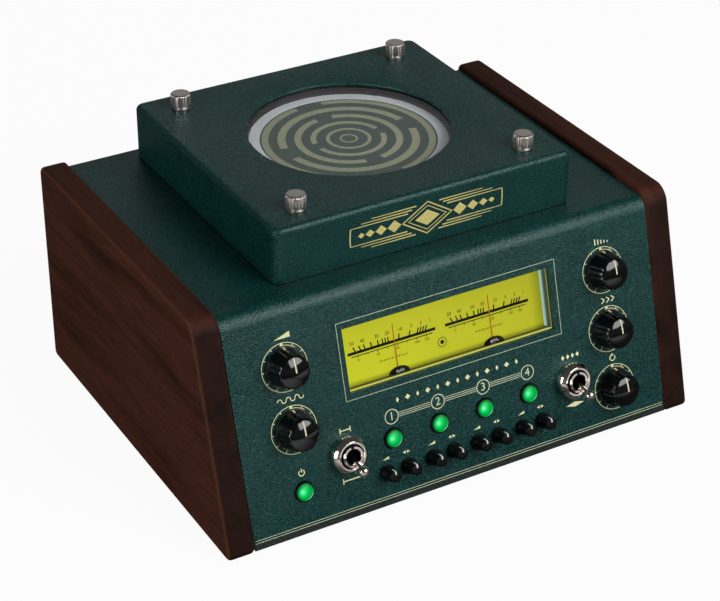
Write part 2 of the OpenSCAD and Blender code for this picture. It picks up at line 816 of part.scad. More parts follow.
module small_knob(i) color(black) on_panel(small_spots[i]) {
    skirt_top_r = small_skirt_r - small_skirt_taper;
    neck_r = small_tip_r + small_edge;
    shoulder_z = small_lift + small_skirt_h;
    neck_z = shoulder_z + small_shoulder;
    edge_z = small_h - small_edge;
    shaft_z = board_h + small_pot_floor + small_shaft_play;
    translate([0, 0, small_lift]) cylinder(r1 = small_skirt_r, r2 = skirt_top_r, h = small_skirt_h);
    translate([0, 0, shoulder_z]) cylinder(r1 = skirt_top_r, r2 = neck_r, h = small_shoulder);
    translate([0, 0, neck_z]) cylinder(r1 = neck_r, r2 = small_tip_r, h = edge_z - neck_z);
    translate([0, 0, edge_z]) cylinder(r1 = small_tip_r, r2 = small_tip_r - small_edge, h = small_edge);
    translate([0, 0, shaft_z]) cylinder(r = small_shaft_r, h = neck_z - shaft_z);
}

module volume_knob_1() small_knob(0);
module balance_knob_1() small_knob(1);
module volume_knob_2() small_knob(2);
module balance_knob_2() small_knob(3);
module volume_knob_3() small_knob(4);
module balance_knob_3() small_knob(5);
module volume_knob_4() small_knob(6);
module balance_knob_4() small_knob(7);

// Circuit boards
module control_boards() color([0.05, 0.3, 0.15]) {
    board_edge = 3;
    wide = 3 * button_pitch + small_gap + small_pot_w + 2 * board_edge;
    low = small_u - small_pot_len / 2 - board_edge;
    high = button_u + switch_w / 2 + board_edge;
    bypass_w = switch_w + 2 * board_edge;
    meter_box(wide, low, high, board_h - board_t, board_h);
    on_panel(button_spots[0], board_h - board_t) block(bypass_w, bypass_w, board_t);
}

// Main board with capacitors, chips and cable headers
module main_board() color([0.05, 0.3, 0.15]) in_case([0, main_board_y + main_board_d / 2, main_board_z]) {
    block(main_board_w, main_board_d, board_t);
    translate([0, 0, board_t]) {
        for (i = [0:3]) translate([-main_board_w / 3 + i * part_pitch, main_board_d / 3, 0])
            cylinder(d = capacitor_d, h = capacitor_h);
        for (i = [0:4]) translate([main_board_w / 8 + i * part_pitch, 0, 0])
            block(chip_size[0], chip_size[1], chip_size[2]);
        for (i = [-1:1]) translate([i * main_board_w / 4, header_size[1] - main_board_d / 2, 0])
            block(header_size[0], header_size[1], header_size[2]);
    }
}

// Drum drive
module deck_plate() color(steel) difference() {
    at_drum(deck_z) block(deck_w, deck_d, deck_t);
    at_drum(deck_z - cut) {
        cylinder(r = bearing_barrel_r + slip_gap, h = deck_t + 2 * cut);
        at_thumbs() cylinder(r = post_stud_r + slip_gap, h = deck_t + 2 * cut);
    }
    at_motor(deck_z - cut) cylinder(r = motor_shaft_r + motor_shaft_room, h = deck_t + 2 * cut);
}

module drum_bearing() color(gold) difference() {
    union() {
        at_drum(deck_top_z) cylinder(r = bearing_flange_r, h = bearing_flange_h);
        at_drum(deck_top_z - bearing_drop) cylinder(r = bearing_barrel_r, h = bearing_drop);
    }
    at_drum(spindle_z) cylinder(r = spindle_r + run_gap, h = 2 * bearing_drop);
}

module drum_spindle() color(steel) at_drum(spindle_z)
    cylinder(r = spindle_r, h = drum_top_z - disc_top_t - spindle_z);

// Drum body with its belt pulley below and a hollow underside
module drum_disc() color([0.3, 0.34, 0.33]) difference() {
    hollow_out_r = drum_r - drum_rim_w - drum_wall;
    hollow_in_r = drum_pulley_r + pulley_flange_lip;
    union() {
        at_drum(drum_z) cylinder(r = drum_r - drum_rim_w, h = drum_h - disc_drop);
        at_drum(pulley_z) cylinder(r = drum_pulley_r, h = drum_z - pulley_z + cut);
        at_drum(pulley_z) cylinder(r = drum_pulley_r + pulley_flange_lip, h = pulley_flange_h);
    }
    at_drum(drum_z - cut) ring(hollow_out_r, hollow_in_r, drum_h - disc_top_t + cut);
    at_drum(pulley_z - cut) cylinder(r = spindle_r + run_gap, h = drum_top_z - disc_top_t - pulley_z + cut);
}

module drum_rim() color(steel) at_drum(drum_z) ring(drum_r, drum_r - drum_rim_w + run_gap, drum_h);

module motor() color(steel) difference() {
    at_motor(deck_z - motor_len) cylinder(r = motor_r, h = motor_len);
    at_motor(motor_shaft_z - free_gap) cylinder(r = motor_shaft_r + run_gap, h = motor_len);
}

module motor_pulley() color(gold) {
    at_motor(motor_shaft_z) cylinder(r = motor_shaft_r, h = pulley_z + pulley_flange_h - motor_shaft_z);
    at_motor(pulley_z) cylinder(r = motor_pulley_r + pulley_flange_lip, h = pulley_flange_h);
    at_motor(pulley_z) cylinder(r = motor_pulley_r, h = pulley_flange_h + belt_space - free_gap);
}

// Flat belt round both pulleys
module drive_belt() color(black) at_drum(belt_z) rotate([0, 0, motor_angle]) linear_extrude(belt_w)
    difference() {
        polygon(belt_loop(free_gap + belt_t));
        polygon(belt_loop(free_gap));
    }

// Two arcs, joined by straight runs that touch both pulleys
function belt_loop(grow) = let(lean = asin((drum_pulley_r - motor_pulley_r) / motor_reach)) concat(
    arc_points([0, 0], drum_pulley_r + grow, 90 - lean, 270 + lean),
    arc_points([motor_reach, 0], motor_pulley_r + grow, lean - 90, 90 - lean)
);

// Each head stands on a foot, with a face that just clears the drum's rim
module magnetic_heads() color(steel) for (k = [0:head_count - 1]) at_drum(deck_top_z)
    rotate([0, 0, head_first + k * head_step]) translate([drum_r + head_gap, -head_wide / 2, 0]) {
        face_z = drum_z + head_step_z - deck_top_z;
        face_h = head_top_z - drum_z - head_step_z;
        translate([head_stem_t, 0, 0]) cube([head_foot_long, head_wide, head_foot_t]);
        translate([head_long - head_stem_t, 0, 0]) cube([head_stem_t, head_wide, face_z + face_h]);
        translate([0, 0, face_z]) difference() {
            cube([head_long, head_wide, face_h]);
            for (s = [0, 1]) translate([0, s * head_wide, -cut]) rotate([0, 0, 45])
                block(head_chamfer, head_chamfer, face_h + 2 * cut);
        }
    }

// Rear sockets: four jacks with their nuts and one power inlet
module rear_sockets() color(black) {
    for (x = jack_spots) at_rear(x) {
        difference() {
            union() {
                translate([0, 0, -sheet_t - jack_body_len]) block(jack_body_w, jack_body_w, jack_body_len);
                translate([0, 0, -sheet_t]) cylinder(r = jack_bush_r, h = sheet_t + jack_nose);
            }
            translate([0, 0, -sheet_t - jack_body_len + jack_floor]) cylinder(r = jack_r,
                h = 2 * jack_body_len);
        }
        difference() {
            cylinder(r = jack_nut_r, h = jack_nut_h, $fn = 6);
            translate([0, 0, -cut]) cylinder(r = jack_bush_r + slip_gap, h = jack_nut_h + 2 * cut);
        }
    }
    at_rear(0) {
        difference() {
            union() {
                translate([0, 0, -inlet_depth - inlet_floor])
                    block(inlet_w, inlet_w, inlet_depth + inlet_floor);
                block(inlet_w + 2 * inlet_lip, inlet_w + 2 * inlet_lip, inlet_lip_t);
            }
            translate([0, 0, -inlet_depth]) cylinder(r = inlet_r, h = 2 * inlet_depth);
        }
        translate([0, 0, -inlet_depth - cut]) cylinder(r = inlet_pin_r, h = inlet_depth);
    }
}

// Lid
module lid_posts() color(steel) at_drum(deck_top_z) at_thumbs() difference() {
    union() {
        cylinder(r = post_r, h = lid_under_z - slip_gap - deck_top_z);
        translate([0, 0, -post_stud_len]) cylinder(r = post_stud_r, h = post_stud_len);
    }
    translate([0, 0, lid_under_z - thumb_grip - post_hole_end - deck_top_z])
        cylinder(r = thumb_shank_d / 2 + run_gap, h = 2 * thumb_grip);
}

module lid_shell() color(green) difference() {
    at_drum(case_h) lid_block();
    at_drum(case_h - cut) rounded_plate(lid_w - 2 * lid_t, lid_d - 2 * lid_t, lid_h - lid_t + cut,
        max(lid_corner_r - lid_t, 1));
    at_drum(lid_under_z - cut) {
        cylinder(r = window_r, h = lid_t + 2 * cut, $fn = 180);
        at_thumbs() cylinder(r = thumb_shank_d / 2 + slip_gap, h = lid_t + 2 * cut);
    }
}

// Outside of the lid: upright corners and top edges are round
module lid_block() intersection() {
    rounded_plate(lid_w, lid_d, lid_h, lid_corner_r);
    rotate([90, 0, 90]) linear_extrude(lid_w + cut, center = true) lid_end(lid_d);
    rotate([90, 0, 0]) linear_extrude(lid_d + cut, center = true) lid_end(lid_w);
}

module lid_end(w) {
    translate([-w / 2, 0]) square([w, lid_h - lid_edge_r]);
    translate([lid_edge_r - w / 2, 0]) square([w - 2 * lid_edge_r, lid_h]);
    for (s = [-1, 1]) translate([s * (w / 2 - lid_edge_r), lid_h - lid_edge_r]) circle(lid_edge_r);
}

module lid_window() color([0.8, 0.9, 0.9, 0.3]) at_drum(window_z) cylinder(r = window_disc_r, h = window_t);

// Ring under the lid that clamps the clear window
module window_retainer() color([0.12, 0.09, 0.09]) {
    at_drum(retainer_z) ring(retainer_out_r, retainer_in_r, retainer_h);
    at_drum(window_z) ring(retainer_out_r, window_disc_r + slip_gap, window_t);
}

// Thumbscrew with a ribbed head, a neck and a plain shank in its post
module thumbscrew(sx, sy) color(steel)
    at_drum(lid_top_z) translate([sx * thumb_span_x / 2, sy * thumb_span_y / 2, 0]) {
        cylinder(r = thumb_neck_r, h = thumb_neck_h);
        translate([0, 0, -lid_t - thumb_grip]) cylinder(d = thumb_shank_d, h = lid_t + thumb_grip + cut);
        difference() {
            translate([0, 0, thumb_neck_h]) thumb_head();
            for (k = [0:thumb_ribs - 1]) rotate([0, 0, k * 360 / thumb_ribs])
                translate([thumb_d / 2, 0, 0]) cylinder(r = thumb_rib_r, h = 2 * thumb_h, $fn = 16);
        }
    }

module thumb_head() {
    inner_d = thumb_d - 2 * thumb_edge;
    cylinder(d1 = inner_d, d2 = thumb_d, h = thumb_edge);
    translate([0, 0, thumb_edge]) cylinder(d = thumb_d, h = thumb_h - 2 * thumb_edge);
    translate([0, 0, thumb_h - thumb_edge]) cylinder(d1 = thumb_d, d2 = inner_d, h = thumb_edge);
}

module thumbscrew_1() thumbscrew(-1, -1);
module thumbscrew_2() thumbscrew(1, -1);
module thumbscrew_3() thumbscrew(1, 1);
module thumbscrew_4() thumbscrew(-1, 1);

case_wrap();
base_tray();
rear_panel();
left_cheek();
right_cheek();
cheek_screws();
rubber_feet();
meter_housing();
meter_dial();
meter_window();
meter_pivot_covers();
meter_movements();
left_needle();
right_needle();
toggle_switches();
toggle_nuts();
time_toggle_lever();
mode_toggle_lever();
button_bezels();
button_switches();
bypass_button();
head_button_1();
head_button_2();
head_button_3();
head_button_4();
pot_bodies();
gain_knob();
tone_knob();
echo_knob();
speed_knob();
repeat_knob();
small_pots();
volume_knob_1();
balance_knob_1();
volume_knob_2();
balance_knob_2();
volume_knob_3();
balance_knob_3();
volume_knob_4();
balance_knob_4();
control_boards();
main_board();
motor();
motor_pulley();
drive_belt();
deck_plate();
drum_bearing();
drum_spindle();
drum_disc();
drum_rim();
magnetic_heads();
rear_sockets();
lid_posts();
lid_shell();
lid_window();
window_retainer();
thumbscrew_1();
thumbscrew_2();
thumbscrew_3();
thumbscrew_4();
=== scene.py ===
# %% [markdown]
# # A drum delay, dressed in Blender
# The solid model of the unit arrives as a fixed frame: a folded green case between two wooden cheeks,
# a twin meter, knobs, lit buttons and a lid with a round window over a drum. In this lesson we keep that
# frame where it is, give every surface a finish made of shader nodes, and model the details that a solid
# model leaves out: printed lines, pointer marks, rounded wood, turned metal and lit lenses.

# %% Load the frame
import json
import math

import bmesh
import bpy
from mathutils import Matrix, Quaternion, Vector


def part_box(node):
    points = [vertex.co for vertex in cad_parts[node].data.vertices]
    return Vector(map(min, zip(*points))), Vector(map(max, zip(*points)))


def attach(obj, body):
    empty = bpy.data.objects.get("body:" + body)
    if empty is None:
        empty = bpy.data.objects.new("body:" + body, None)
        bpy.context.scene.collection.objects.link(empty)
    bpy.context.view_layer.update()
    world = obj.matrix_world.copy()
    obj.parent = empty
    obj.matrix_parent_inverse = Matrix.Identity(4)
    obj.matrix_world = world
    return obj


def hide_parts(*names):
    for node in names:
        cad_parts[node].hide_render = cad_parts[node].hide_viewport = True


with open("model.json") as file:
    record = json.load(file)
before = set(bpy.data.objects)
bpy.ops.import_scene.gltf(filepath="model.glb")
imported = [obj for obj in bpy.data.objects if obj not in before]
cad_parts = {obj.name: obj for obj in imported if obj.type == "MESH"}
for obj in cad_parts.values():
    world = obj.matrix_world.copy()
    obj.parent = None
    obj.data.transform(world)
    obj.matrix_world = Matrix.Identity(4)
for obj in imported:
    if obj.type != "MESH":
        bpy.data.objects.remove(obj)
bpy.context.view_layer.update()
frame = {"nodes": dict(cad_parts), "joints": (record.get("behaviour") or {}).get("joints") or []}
nodes = frame["nodes"]
joints = {joint["name"]: joint for joint in frame["joints"]}
MM = 0.001

# %% [markdown]
# ## The camera
# A product photograph is taken from far off with a long lens, so that parallel edges stay nearly
# parallel. A place, two angles and a slight roll set the camera: the rotation starts from a look
# direction and then turns about the camera's own axis.

# %% Camera at the photograph's angle
IMAGE_WIDTH = 720
FOCAL_PIXELS = 2082.43
CAMERA_PLACE = Vector((-0.506596, -0.863804, 0.667818))
CAMERA_AZIMUTH = math.radians(-30.0707)
CAMERA_ELEVATION = math.radians(31.3965)
CAMERA_ROLL = math.radians(0.298)


def direction(azimuth, elevation):
    """A unit vector from the object towards a viewer or a lamp."""
    level = math.cos(elevation)
    return Vector((math.sin(azimuth) * level, -math.cos(azimuth) * level, math.sin(elevation)))


def aim(holder, back, roll=0.0):
    """Turns a camera or a lamp to look away from its back."""
    holder.rotation_mode = "QUATERNION"
    holder.rotation_quaternion = (-back).to_track_quat("-Z", "Y") @ Quaternion((0, 0, 1), roll)
    bpy.context.collection.objects.link(holder)


lens = bpy.data.cameras.new("photo_camera")
lens.sensor_width = 36
lens.lens = FOCAL_PIXELS * lens.sensor_width / IMAGE_WIDTH
camera = bpy.data.objects.new("photo_camera", lens)
camera.location = CAMERA_PLACE
aim(camera, direction(CAMERA_AZIMUTH, CAMERA_ELEVATION), CAMERA_ROLL)
bpy.context.scene.camera = camera
bpy.context.scene.view_settings.view_transform = "Standard"
print("camera lens", round(lens.lens, 1), "mm")

# %% [markdown]
# ## Shader nodes by hand
# Every finish below is a small tree of nodes. One helper fills a node's inputs with values or with other
# nodes' outputs, and the rest build on it.

# %% Node helpers
def fill_inputs(tree, node, inputs):
    """Gives each named input a plain value or a link from another node's output socket."""
    for name, value in inputs.items():
        if isinstance(value, bpy.types.NodeSocket):
            tree.links.new(value, node.inputs[name])
        else:
            node.inputs[name].default_value = value


def add_node(tree, kind, inputs=None, **options):
    """A new shader node with its options and inputs."""
    node = tree.nodes.new("ShaderNode" + kind)
    for name, value in options.items():
        setattr(node, name, value)
    fill_inputs(tree, node, inputs or {})
    return node


def new_finish(name, **settings):
    """A material with its Principled shader set up; underscores in a setting stand for spaces."""
    finish = bpy.data.materials.new(name)
    finish.use_nodes = True
    tree = finish.node_tree
    shader = tree.nodes["Principled BSDF"]
    fill_inputs(tree, shader, {setting.replace("_", " "): value for setting, value in settings.items()})
    return finish, tree, shader


def blend(tree, share, first, second):
    """Two shaders blended by a share."""
    return add_node(tree, "MixShader", {0: share, 1: first, 2: second}).outputs[0]


def spread(tree, value, low, high, start=0.0, end=1.0):
    """A value from start to end, stretched to run from low to high."""
    inputs = {0: value, 1: start, 2: end, 3: low, 4: high}
    return add_node(tree, "MapRange", inputs).outputs[0]


def grey(value):
    """A neutral colour."""
    return (value, value, value, 1)


WHITE = grey(1)

# %% [markdown]
# ## The floor
# The unit stands on a plain white sweep. A floor that is only lit would turn grey, so most of the white
# that the camera sees is the floor's own glow, and the rest keeps a soft shadow. Other rays meet a dull
# grey floor that turns paler far away. Mirrors see two lit pools on it, so that bright metal shines while
# little light falls on the paint from below.

# %% Floor
FLOOR_SIZE = 12.0
FLOOR_GLOW = 0.95
FAR_GLOW = 0.22
FAR_RANGE = (0.5, 1.3)
MIRROR_GLOW = 0.06
POOL_GLOW = 0.7
floor_finish, floor_tree, floor_shader = new_finish("white_sweep", Roughness=0.9, Base_Color=grey(0.9))
where = add_node(floor_tree, "TexCoord").outputs["Object"]


def shining(strength):
    """White light of the floor's own."""
    return add_node(floor_tree, "Emission", {"Color": WHITE, "Strength": strength}).outputs[0]


def pool(x, y, start, end):
    """The glow of a lit patch that mirrors see, full up to one distance and gone at another."""
    gap = add_node(floor_tree, "VectorMath", {0: where, 1: (x, y, 0)}, operation="DISTANCE")
    return spread(floor_tree, gap.outputs["Value"], POOL_GLOW, MIRROR_GLOW, start, end)


path = add_node(floor_tree, "LightPath").outputs
dull = add_node(floor_tree, "BsdfDiffuse", {"Color": grey(0.16)}).outputs[0]
reach = add_node(floor_tree, "VectorMath", {0: where}, operation="LENGTH").outputs["Value"]
around = blend(floor_tree, spread(floor_tree, reach, 0.0, 1.0, *FAR_RANGE), dull, shining(FAR_GLOW))
pools = {0: pool(0.17, -0.44, 0.1, 0.24), 1: pool(-0.19, -0.36, 0.15, 0.26)}
lit_floor = add_node(floor_tree, "Math", pools, operation="MAXIMUM").outputs[0]
around = blend(floor_tree, path["Is Glossy Ray"], around, shining(lit_floor))
bright = blend(floor_tree, FLOOR_GLOW, floor_shader.outputs[0], shining(1.0))
either = blend(floor_tree, path["Is Camera Ray"], around, bright)
floor_tree.links.new(either, floor_tree.nodes["Material Output"].inputs["Surface"])
floor_bm = bmesh.new()
bmesh.ops.create_grid(floor_bm, x_segments=1, y_segments=1, size=FLOOR_SIZE / 2)
floor_mesh = bpy.data.meshes.new("floor")
floor_bm.to_mesh(floor_mesh)
floor_bm.free()
floor_mesh.materials.append(floor_finish)
floor = bpy.data.objects.new("floor", floor_mesh)
bpy.context.collection.objects.link(floor)
print("floor of", FLOOR_SIZE, "m")

# %% [markdown]
# ## The world
# Rays past the floor see the world: white for the camera, and for all others a dim fill with a pale band
# at the horizon.

# %% World
WORLD_FILL = 0.045
HORIZON = 0.12
BAND_RANGE = (0.2, 0.55)
world = bpy.data.worlds.new("studio")
bpy.context.scene.world = world
world.use_nodes = True
sky = world.node_tree
look = add_node(sky, "TexCoord").outputs["Generated"]
height = add_node(sky, "SeparateXYZ", {0: look}).outputs["Z"]
band = spread(sky, height, HORIZON, WORLD_FILL, *BAND_RANGE)
fill = sky.nodes["Background"]
fill_inputs(sky, fill, {"Color": (0.97, 0.99, 1.0, 1), "Strength": band})
backdrop = add_node(sky, "Background", {"Color": WHITE, "Strength": 1.0})
seen = add_node(sky, "LightPath").outputs["Is Camera Ray"]
either = blend(sky, seen, fill.outputs[0], backdrop.outputs[0])
sky.links.new(either, sky.nodes["World Output"].inputs["Surface"])
print("world fill of", WORLD_FILL)

# %% [markdown]
# ## Softboxes
# Five rectangular lamps do the lighting. The main one, in front to the right, shows as a pale patch on
# every polished knob. A thin strip above it draws bright lines along the bends. A narrow one on the left
# lights the wood, a broad one behind gives the lid its haze, and a low one lights the back.

# %% Lamps
LAMP_TARGET = Vector((0, 0, 0.08))


def softbox(name, azimuth, elevation, distance, width, height, watts, mirrored=True):
    """A rectangular lamp that faces the middle of the unit, placed by degrees and metres."""
    lamp = bpy.data.lights.new(name, "AREA")
    lamp.shape = "RECTANGLE"
    lamp.size = width
    lamp.size_y = height
    lamp.energy = watts
    holder = bpy.data.objects.new(name, lamp)
    back = direction(math.radians(azimuth), math.radians(elevation))
    holder.location = back * distance + LAMP_TARGET
    holder.visible_glossy = mirrored
    aim(holder, back)


softbox("softbox_front_right", 25, 27, 1.7, 1.15, 0.65, 12)
softbox("softbox_strip", 27, 47, 1.7, 1.2, 0.22, 8)
softbox("softbox_left", -72, 13, 1.6, 0.32, 0.85, 7)
softbox("softbox_back", 150, 30, 1.8, 1.6, 1.0, 1.2)
softbox("softbox_rear", 195, 10, 1.8, 1.0, 0.6, 4, mirrored=False)
print("lit", len(bpy.data.lights), "softboxes")

# %% [markdown]
# ## Patterns
# Paint, wood and mouldings all start from soft noise. These helpers place a pattern in the object's own
# coordinates, turn it into colours, and press it into the surface as relief.

# %% Pattern helpers
def rgb(red, green, blue):
    """A display colour from 0 to 255, as the linear colour that shaders use."""
    shares = [c / 255 for c in (red, green, blue)]
    return (*[((c + 0.055) / 1.055) ** 2.4 if c > 10 / 255 else c / 12.92 for c in shares], 1.0)


def object_place(tree, scale=(1, 1, 1)):
    """Object coordinates, stretched."""
    place = add_node(tree, "TexCoord").outputs["Object"]
    return add_node(tree, "Mapping", {"Vector": place, "Scale": scale}).outputs[0]


def noise(tree, place, scale, detail=2.0, roughness=0.5, distortion=0.0):
    """Values of a soft random pattern."""
    inputs = {"Vector": place, "Scale": scale, "Detail": detail}
    inputs.update({"Roughness": roughness, "Distortion": distortion})
    return add_node(tree, "TexNoise", inputs).outputs[0]


def ramp(tree, value, *stops):
    """Colours by value: each stop is a position and a colour."""
    node = add_node(tree, "ValToRGB", {0: value})
    elements = node.color_ramp.elements
    while len(elements) < len(stops):
        elements.new(0.5)
    for element, (position, colour) in zip(elements, stops):
        element.position = position
        element.color = colour
    return node.outputs[0]


def mixed(tree, share, colour, other, how="MIX"):
    """A colour with a share of another one mixed in."""
    inputs = {0: share, 6: colour, 7: other}
    return add_node(tree, "Mix", inputs, data_type="RGBA", blend_type=how).outputs[2]


def shaded(tree, colour, by, amount=1.0):
    """A colour darkened by another one."""
    return mixed(tree, amount, colour, by, "MULTIPLY")


def bump(tree, shader, height, strength, distance):
    """Small relief on a shader's surface."""
    inputs = {"Height": height, "Strength": strength, "Distance": distance}
    tree.links.new(add_node(tree, "Bump", inputs).outputs[0], shader.inputs["Normal"])


def dress(finish, *names):
    """Puts a finish on nodes of the frame."""
    for name in names:
        for slot in nodes[name].material_slots:
            slot.material = finish


# %% [markdown]
# ## Powder coat
# The case and the lid are steel with a baked powder coat: dark green, with a fine orange-peel texture. A
# flat colour with gloss would look like plastic, so noise just under a millimetre drives the relief and
# the pale grains, and slower noise varies tone and gloss. A strip along the lower edge is painted shade:
# dull grey on the case, and a dark painted shadow line at the lid's foot.

# %% Green powder coat
PEEL_DEPTH = 0.00035
STRIP_BLEND = 0.3 * MM
CASE_SHADE_STRIP = 3.4 * MM
LID_SHADOW_STRIP = 0.8 * MM


def powder_coat(name, node, strip, shade_strip_colour):
    """The green coat for a node, with a strip of painted shade along its lower edge."""
    finish, tree, shader = new_finish(name, Specular_IOR_Level=0.48, Specular_Tint=(0.75, 1.0, 0.97, 1))
    place = object_place(tree)
    peel = noise(tree, place, 1350, 1.5, 0.6)
    grains = noise(tree, place, 1450, 2.0, 0.8)
    cloud = noise(tree, place, 70, 3.0, 0.6)
    speckle = ramp(
        tree, grains, (0.36, rgb(0, 31, 29)), (0.48, rgb(0, 49, 46)), (0.58, rgb(2, 71, 67)),
        (0.7, rgb(64, 120, 114))
    )
    mottle = ramp(tree, cloud, (0.3, grey(0.8)), (0.65, WHITE))
    height = add_node(tree, "SeparateXYZ", {0: place}).outputs["Z"]
    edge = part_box(node)[0].z + strip
    low = spread(tree, height, 1.0, 0.0, edge, edge + STRIP_BLEND)
    colour = mixed(tree, low, shaded(tree, speckle, mottle), shade_strip_colour)
    gloss = spread(tree, cloud, 0.22, 0.3, 0.3, 0.7)
    fill_inputs(tree, shader, {"Base Color": colour, "Roughness": gloss})
    bump(tree, shader, peel, 1.0, PEEL_DEPTH)
    return finish


# The case's lower strip is a dull grey painted shade, and the lid's is a dark painted shadow line at its foot.
case_coat = powder_coat("green_case_coat", "case_wrap", CASE_SHADE_STRIP, rgb(40, 46, 42))
lid_coat = powder_coat("green_lid_coat", "lid_shell", LID_SHADOW_STRIP, rgb(0, 8, 7))
dress(case_coat, "case_wrap", "base_tray", "rear_panel")
print("coated the case")

# %% [markdown]
# ## Making pieces
# New pieces are built in millimetres, lying flat at the origin, and one placing matrix then sets them on
# the panel, the lid or the drum. The mesh itself takes the place, so that every object stays at the
# origin as the frame's own nodes do.

# %% Piece helper and places
case_low, case_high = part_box("case_wrap")
lid_low, lid_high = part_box("lid_shell")
panel_out = Vector(joints["gain_knob_turn"]["axis"])
panel_up = Vector((0, panel_out.z, -panel_out.y))


def frame_at(origin, right, up, out):
    """A matrix whose local X, Y and Z run along three directions from an origin."""
    turn = Matrix((right, up, out)).transposed().to_4x4()
    return Matrix.Translation(origin) @ turn


PANEL = frame_at((0, case_low.y, case_low.z), (1, 0, 0), panel_up, panel_out)
LID_FRONT = frame_at((0, lid_low.y, (lid_low.z + lid_high.z) / 2), (1, 0, 0), (0, 0, 1), (0, -1, 0))


def on_panel(x, up, out=0.0):
    """A place on the control panel, in millimetres from the middle of its lower edge."""
    return PANEL @ Matrix.Translation(Vector((x, up, out)) * MM)


def panel_spot(point):
    """Where a point of the frame lies on the panel, in millimetres."""
    return PANEL.inverted() @ Vector(point) / MM


def pivot(joint):
    """A point on a joint's axis."""
    return Vector(joints[joint]["pos_m"])


def make_piece(name, bm, place, finishes, body, stands_for=(), smooth=35):
    """Welds a mesh built in millimetres, turns its faces outwards, sets it in its place and hangs it on its
    body.
    """
    bmesh.ops.remove_doubles(bm, verts=bm.verts, dist=0.0005)
    bmesh.ops.recalc_face_normals(bm, faces=bm.faces)
    bm.transform(place @ Matrix.Scale(MM, 4))
    open_edges = sum(not edge.is_manifold for edge in bm.edges)
    mesh = bpy.data.meshes.new(name)
    bm.to_mesh(mesh)
    bm.free()
    for finish in finishes:
        mesh.materials.append(finish)
    mesh.shade_smooth()
    mesh.set_sharp_from_angle(angle=math.radians(smooth))
    piece = bpy.data.objects.new(name, mesh)
    bpy.context.collection.objects.link(piece)
    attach(piece, body)
    if stands_for:
        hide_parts(*stands_for)
    print("made", name, "with", len(mesh.polygons), "faces,", open_edges, "open edges")
    return piece


# %% [markdown]
# ## Rings of vertices
# The solid lid has crisp folds, but a cover that is folded, welded and ground is softer. It is built from
# rings of vertices: rounded rectangles for the walls and folds, circles for the window and the screw
# holes.

# %% Ring helpers
LID_CORNER = 5.0
LEAST_CORNER = 0.5
LID_FLAT = 0.4
BEND_STEPS = 6
BEND_ANGLE = 90 // BEND_STEPS
cover_low = lid_low - Vector((1.5, 0, 0)) * MM
cover_high = lid_high + Vector((2.5, 2, 0)) * MM
lid_size = (cover_high - cover_low) / MM
lid_foot = Vector(((cover_low.x + cover_high.x) / 2, (cover_low.y + cover_high.y) / 2, cover_low.z))


def lid_ring(bm, inset, z):
    """Vertices of a rounded rectangle, set in from the lid's sides; extra ones keep its sides flat."""
    radius = max(LID_CORNER - inset, LEAST_CORNER)
    reach = [lid_size.x / 2 - inset - radius, lid_size.y / 2 - inset - radius]
    verts = []
    for quarter, (sx, sy) in enumerate(((1, 1), (-1, 1), (-1, -1), (1, -1))):
        for step in range(-1, BEND_STEPS + 2):
            bend = min(max(step, 0), BEND_STEPS)
            angle = math.radians(90 * quarter + BEND_ANGLE * bend)
            slide = LID_FLAT * (step - bend)
            x = sx * reach[0] + radius * math.cos(angle) - slide * math.sin(angle)
            y = sy * reach[1] + radius * math.sin(angle) + slide * math.cos(angle)
            verts.append(bm.verts.new((x, y, z)))
    return verts


def round_ring(bm, centre, radius, z, steps):
    """Vertices of a circle."""
    verts = []
    for step in range(steps):
        turn = 2 * math.pi * step / steps
        place = (centre.x + radius * math.cos(turn), centre.y + radius * math.sin(turn), z)
        verts.append(bm.verts.new(place))
    return verts


def join_rings(bm, rings):
    """Quads between each ring and the next."""
    for near, far in zip(rings, rings[1:]):
        for step in range(len(near)):
            bm.faces.new((near[step - 1], near[step], far[step], far[step - 1]))


def ring_edges(bm, rings):
    """The edges along rings of vertices."""
    return [bm.edges.get((ring[step - 1], ring[step])) for ring in rings for step in range(len(ring))]


print("lid cover of", [round(v, 1) for v in lid_size], "mm")

# %% [markdown]
# ## The lid's cover
# The outer rings climb the wall and turn over the fold, and the inner rings go down again a sheet's
# thickness inside. A triangle fill closes the flat top and its underside round their holes.

# %% Lid cover
LID_FOLD = 3.0
LID_SHEET = 1.6
WINDOW_RADIUS = 56.3
WINDOW_EDGE = ((0.5, 0), (0.15, 0.15), (0, 0.5), (0, LID_SHEET))
SCREW_HOLE = 2.15
bm = bmesh.new()
top, under = lid_size.z, lid_size.z - LID_SHEET
outer = [lid_ring(bm, 0, 0), lid_ring(bm, 0, top - LID_FOLD - LID_FLAT)]
for step in range(BEND_STEPS + 1):
    turn = math.radians(BEND_ANGLE * step)
    outer.append(lid_ring(bm, LID_FOLD * (1 - math.cos(turn)), top - LID_FOLD * (1 - math.sin(turn))))
outer.append(lid_ring(bm, LID_FOLD + LID_FLAT, top))
inner = [lid_ring(bm, LID_SHEET + 1.4, under), lid_ring(bm, LID_SHEET + 0.4, under - 0.4)]
inner += [lid_ring(bm, LID_SHEET, under - 1.4), lid_ring(bm, LID_SHEET, 0)]
join_rings(bm, outer)
join_rings(bm, inner + outer[:1])
window = (pivot("drum_spin") - lid_foot) / MM
holes = [[round_ring(bm, window, WINDOW_RADIUS + wide, top - deep, 128) for wide, deep in WINDOW_EDGE]]
for number in (1, 2, 3, 4):
    screw = (pivot("thumbscrew_%d_turn" % number) - lid_foot) / MM
    holes.append([round_ring(bm, screw, SCREW_HOLE, z, 24) for z in (top, under)])
for rings in holes:
    join_rings(bm, rings)
above = [outer[-1]] + [rings[0] for rings in holes]
below = [inner[0]] + [rings[-1] for rings in holes]
for rings in (above, below):
    bmesh.ops.triangle_fill(bm, edges=ring_edges(bm, rings), use_beauty=True, normal=(0, 0, 1))
place = Matrix.Translation(lid_foot)
make_piece("lid_cover", bm, place, [lid_coat], "lid", ["lid_shell"])
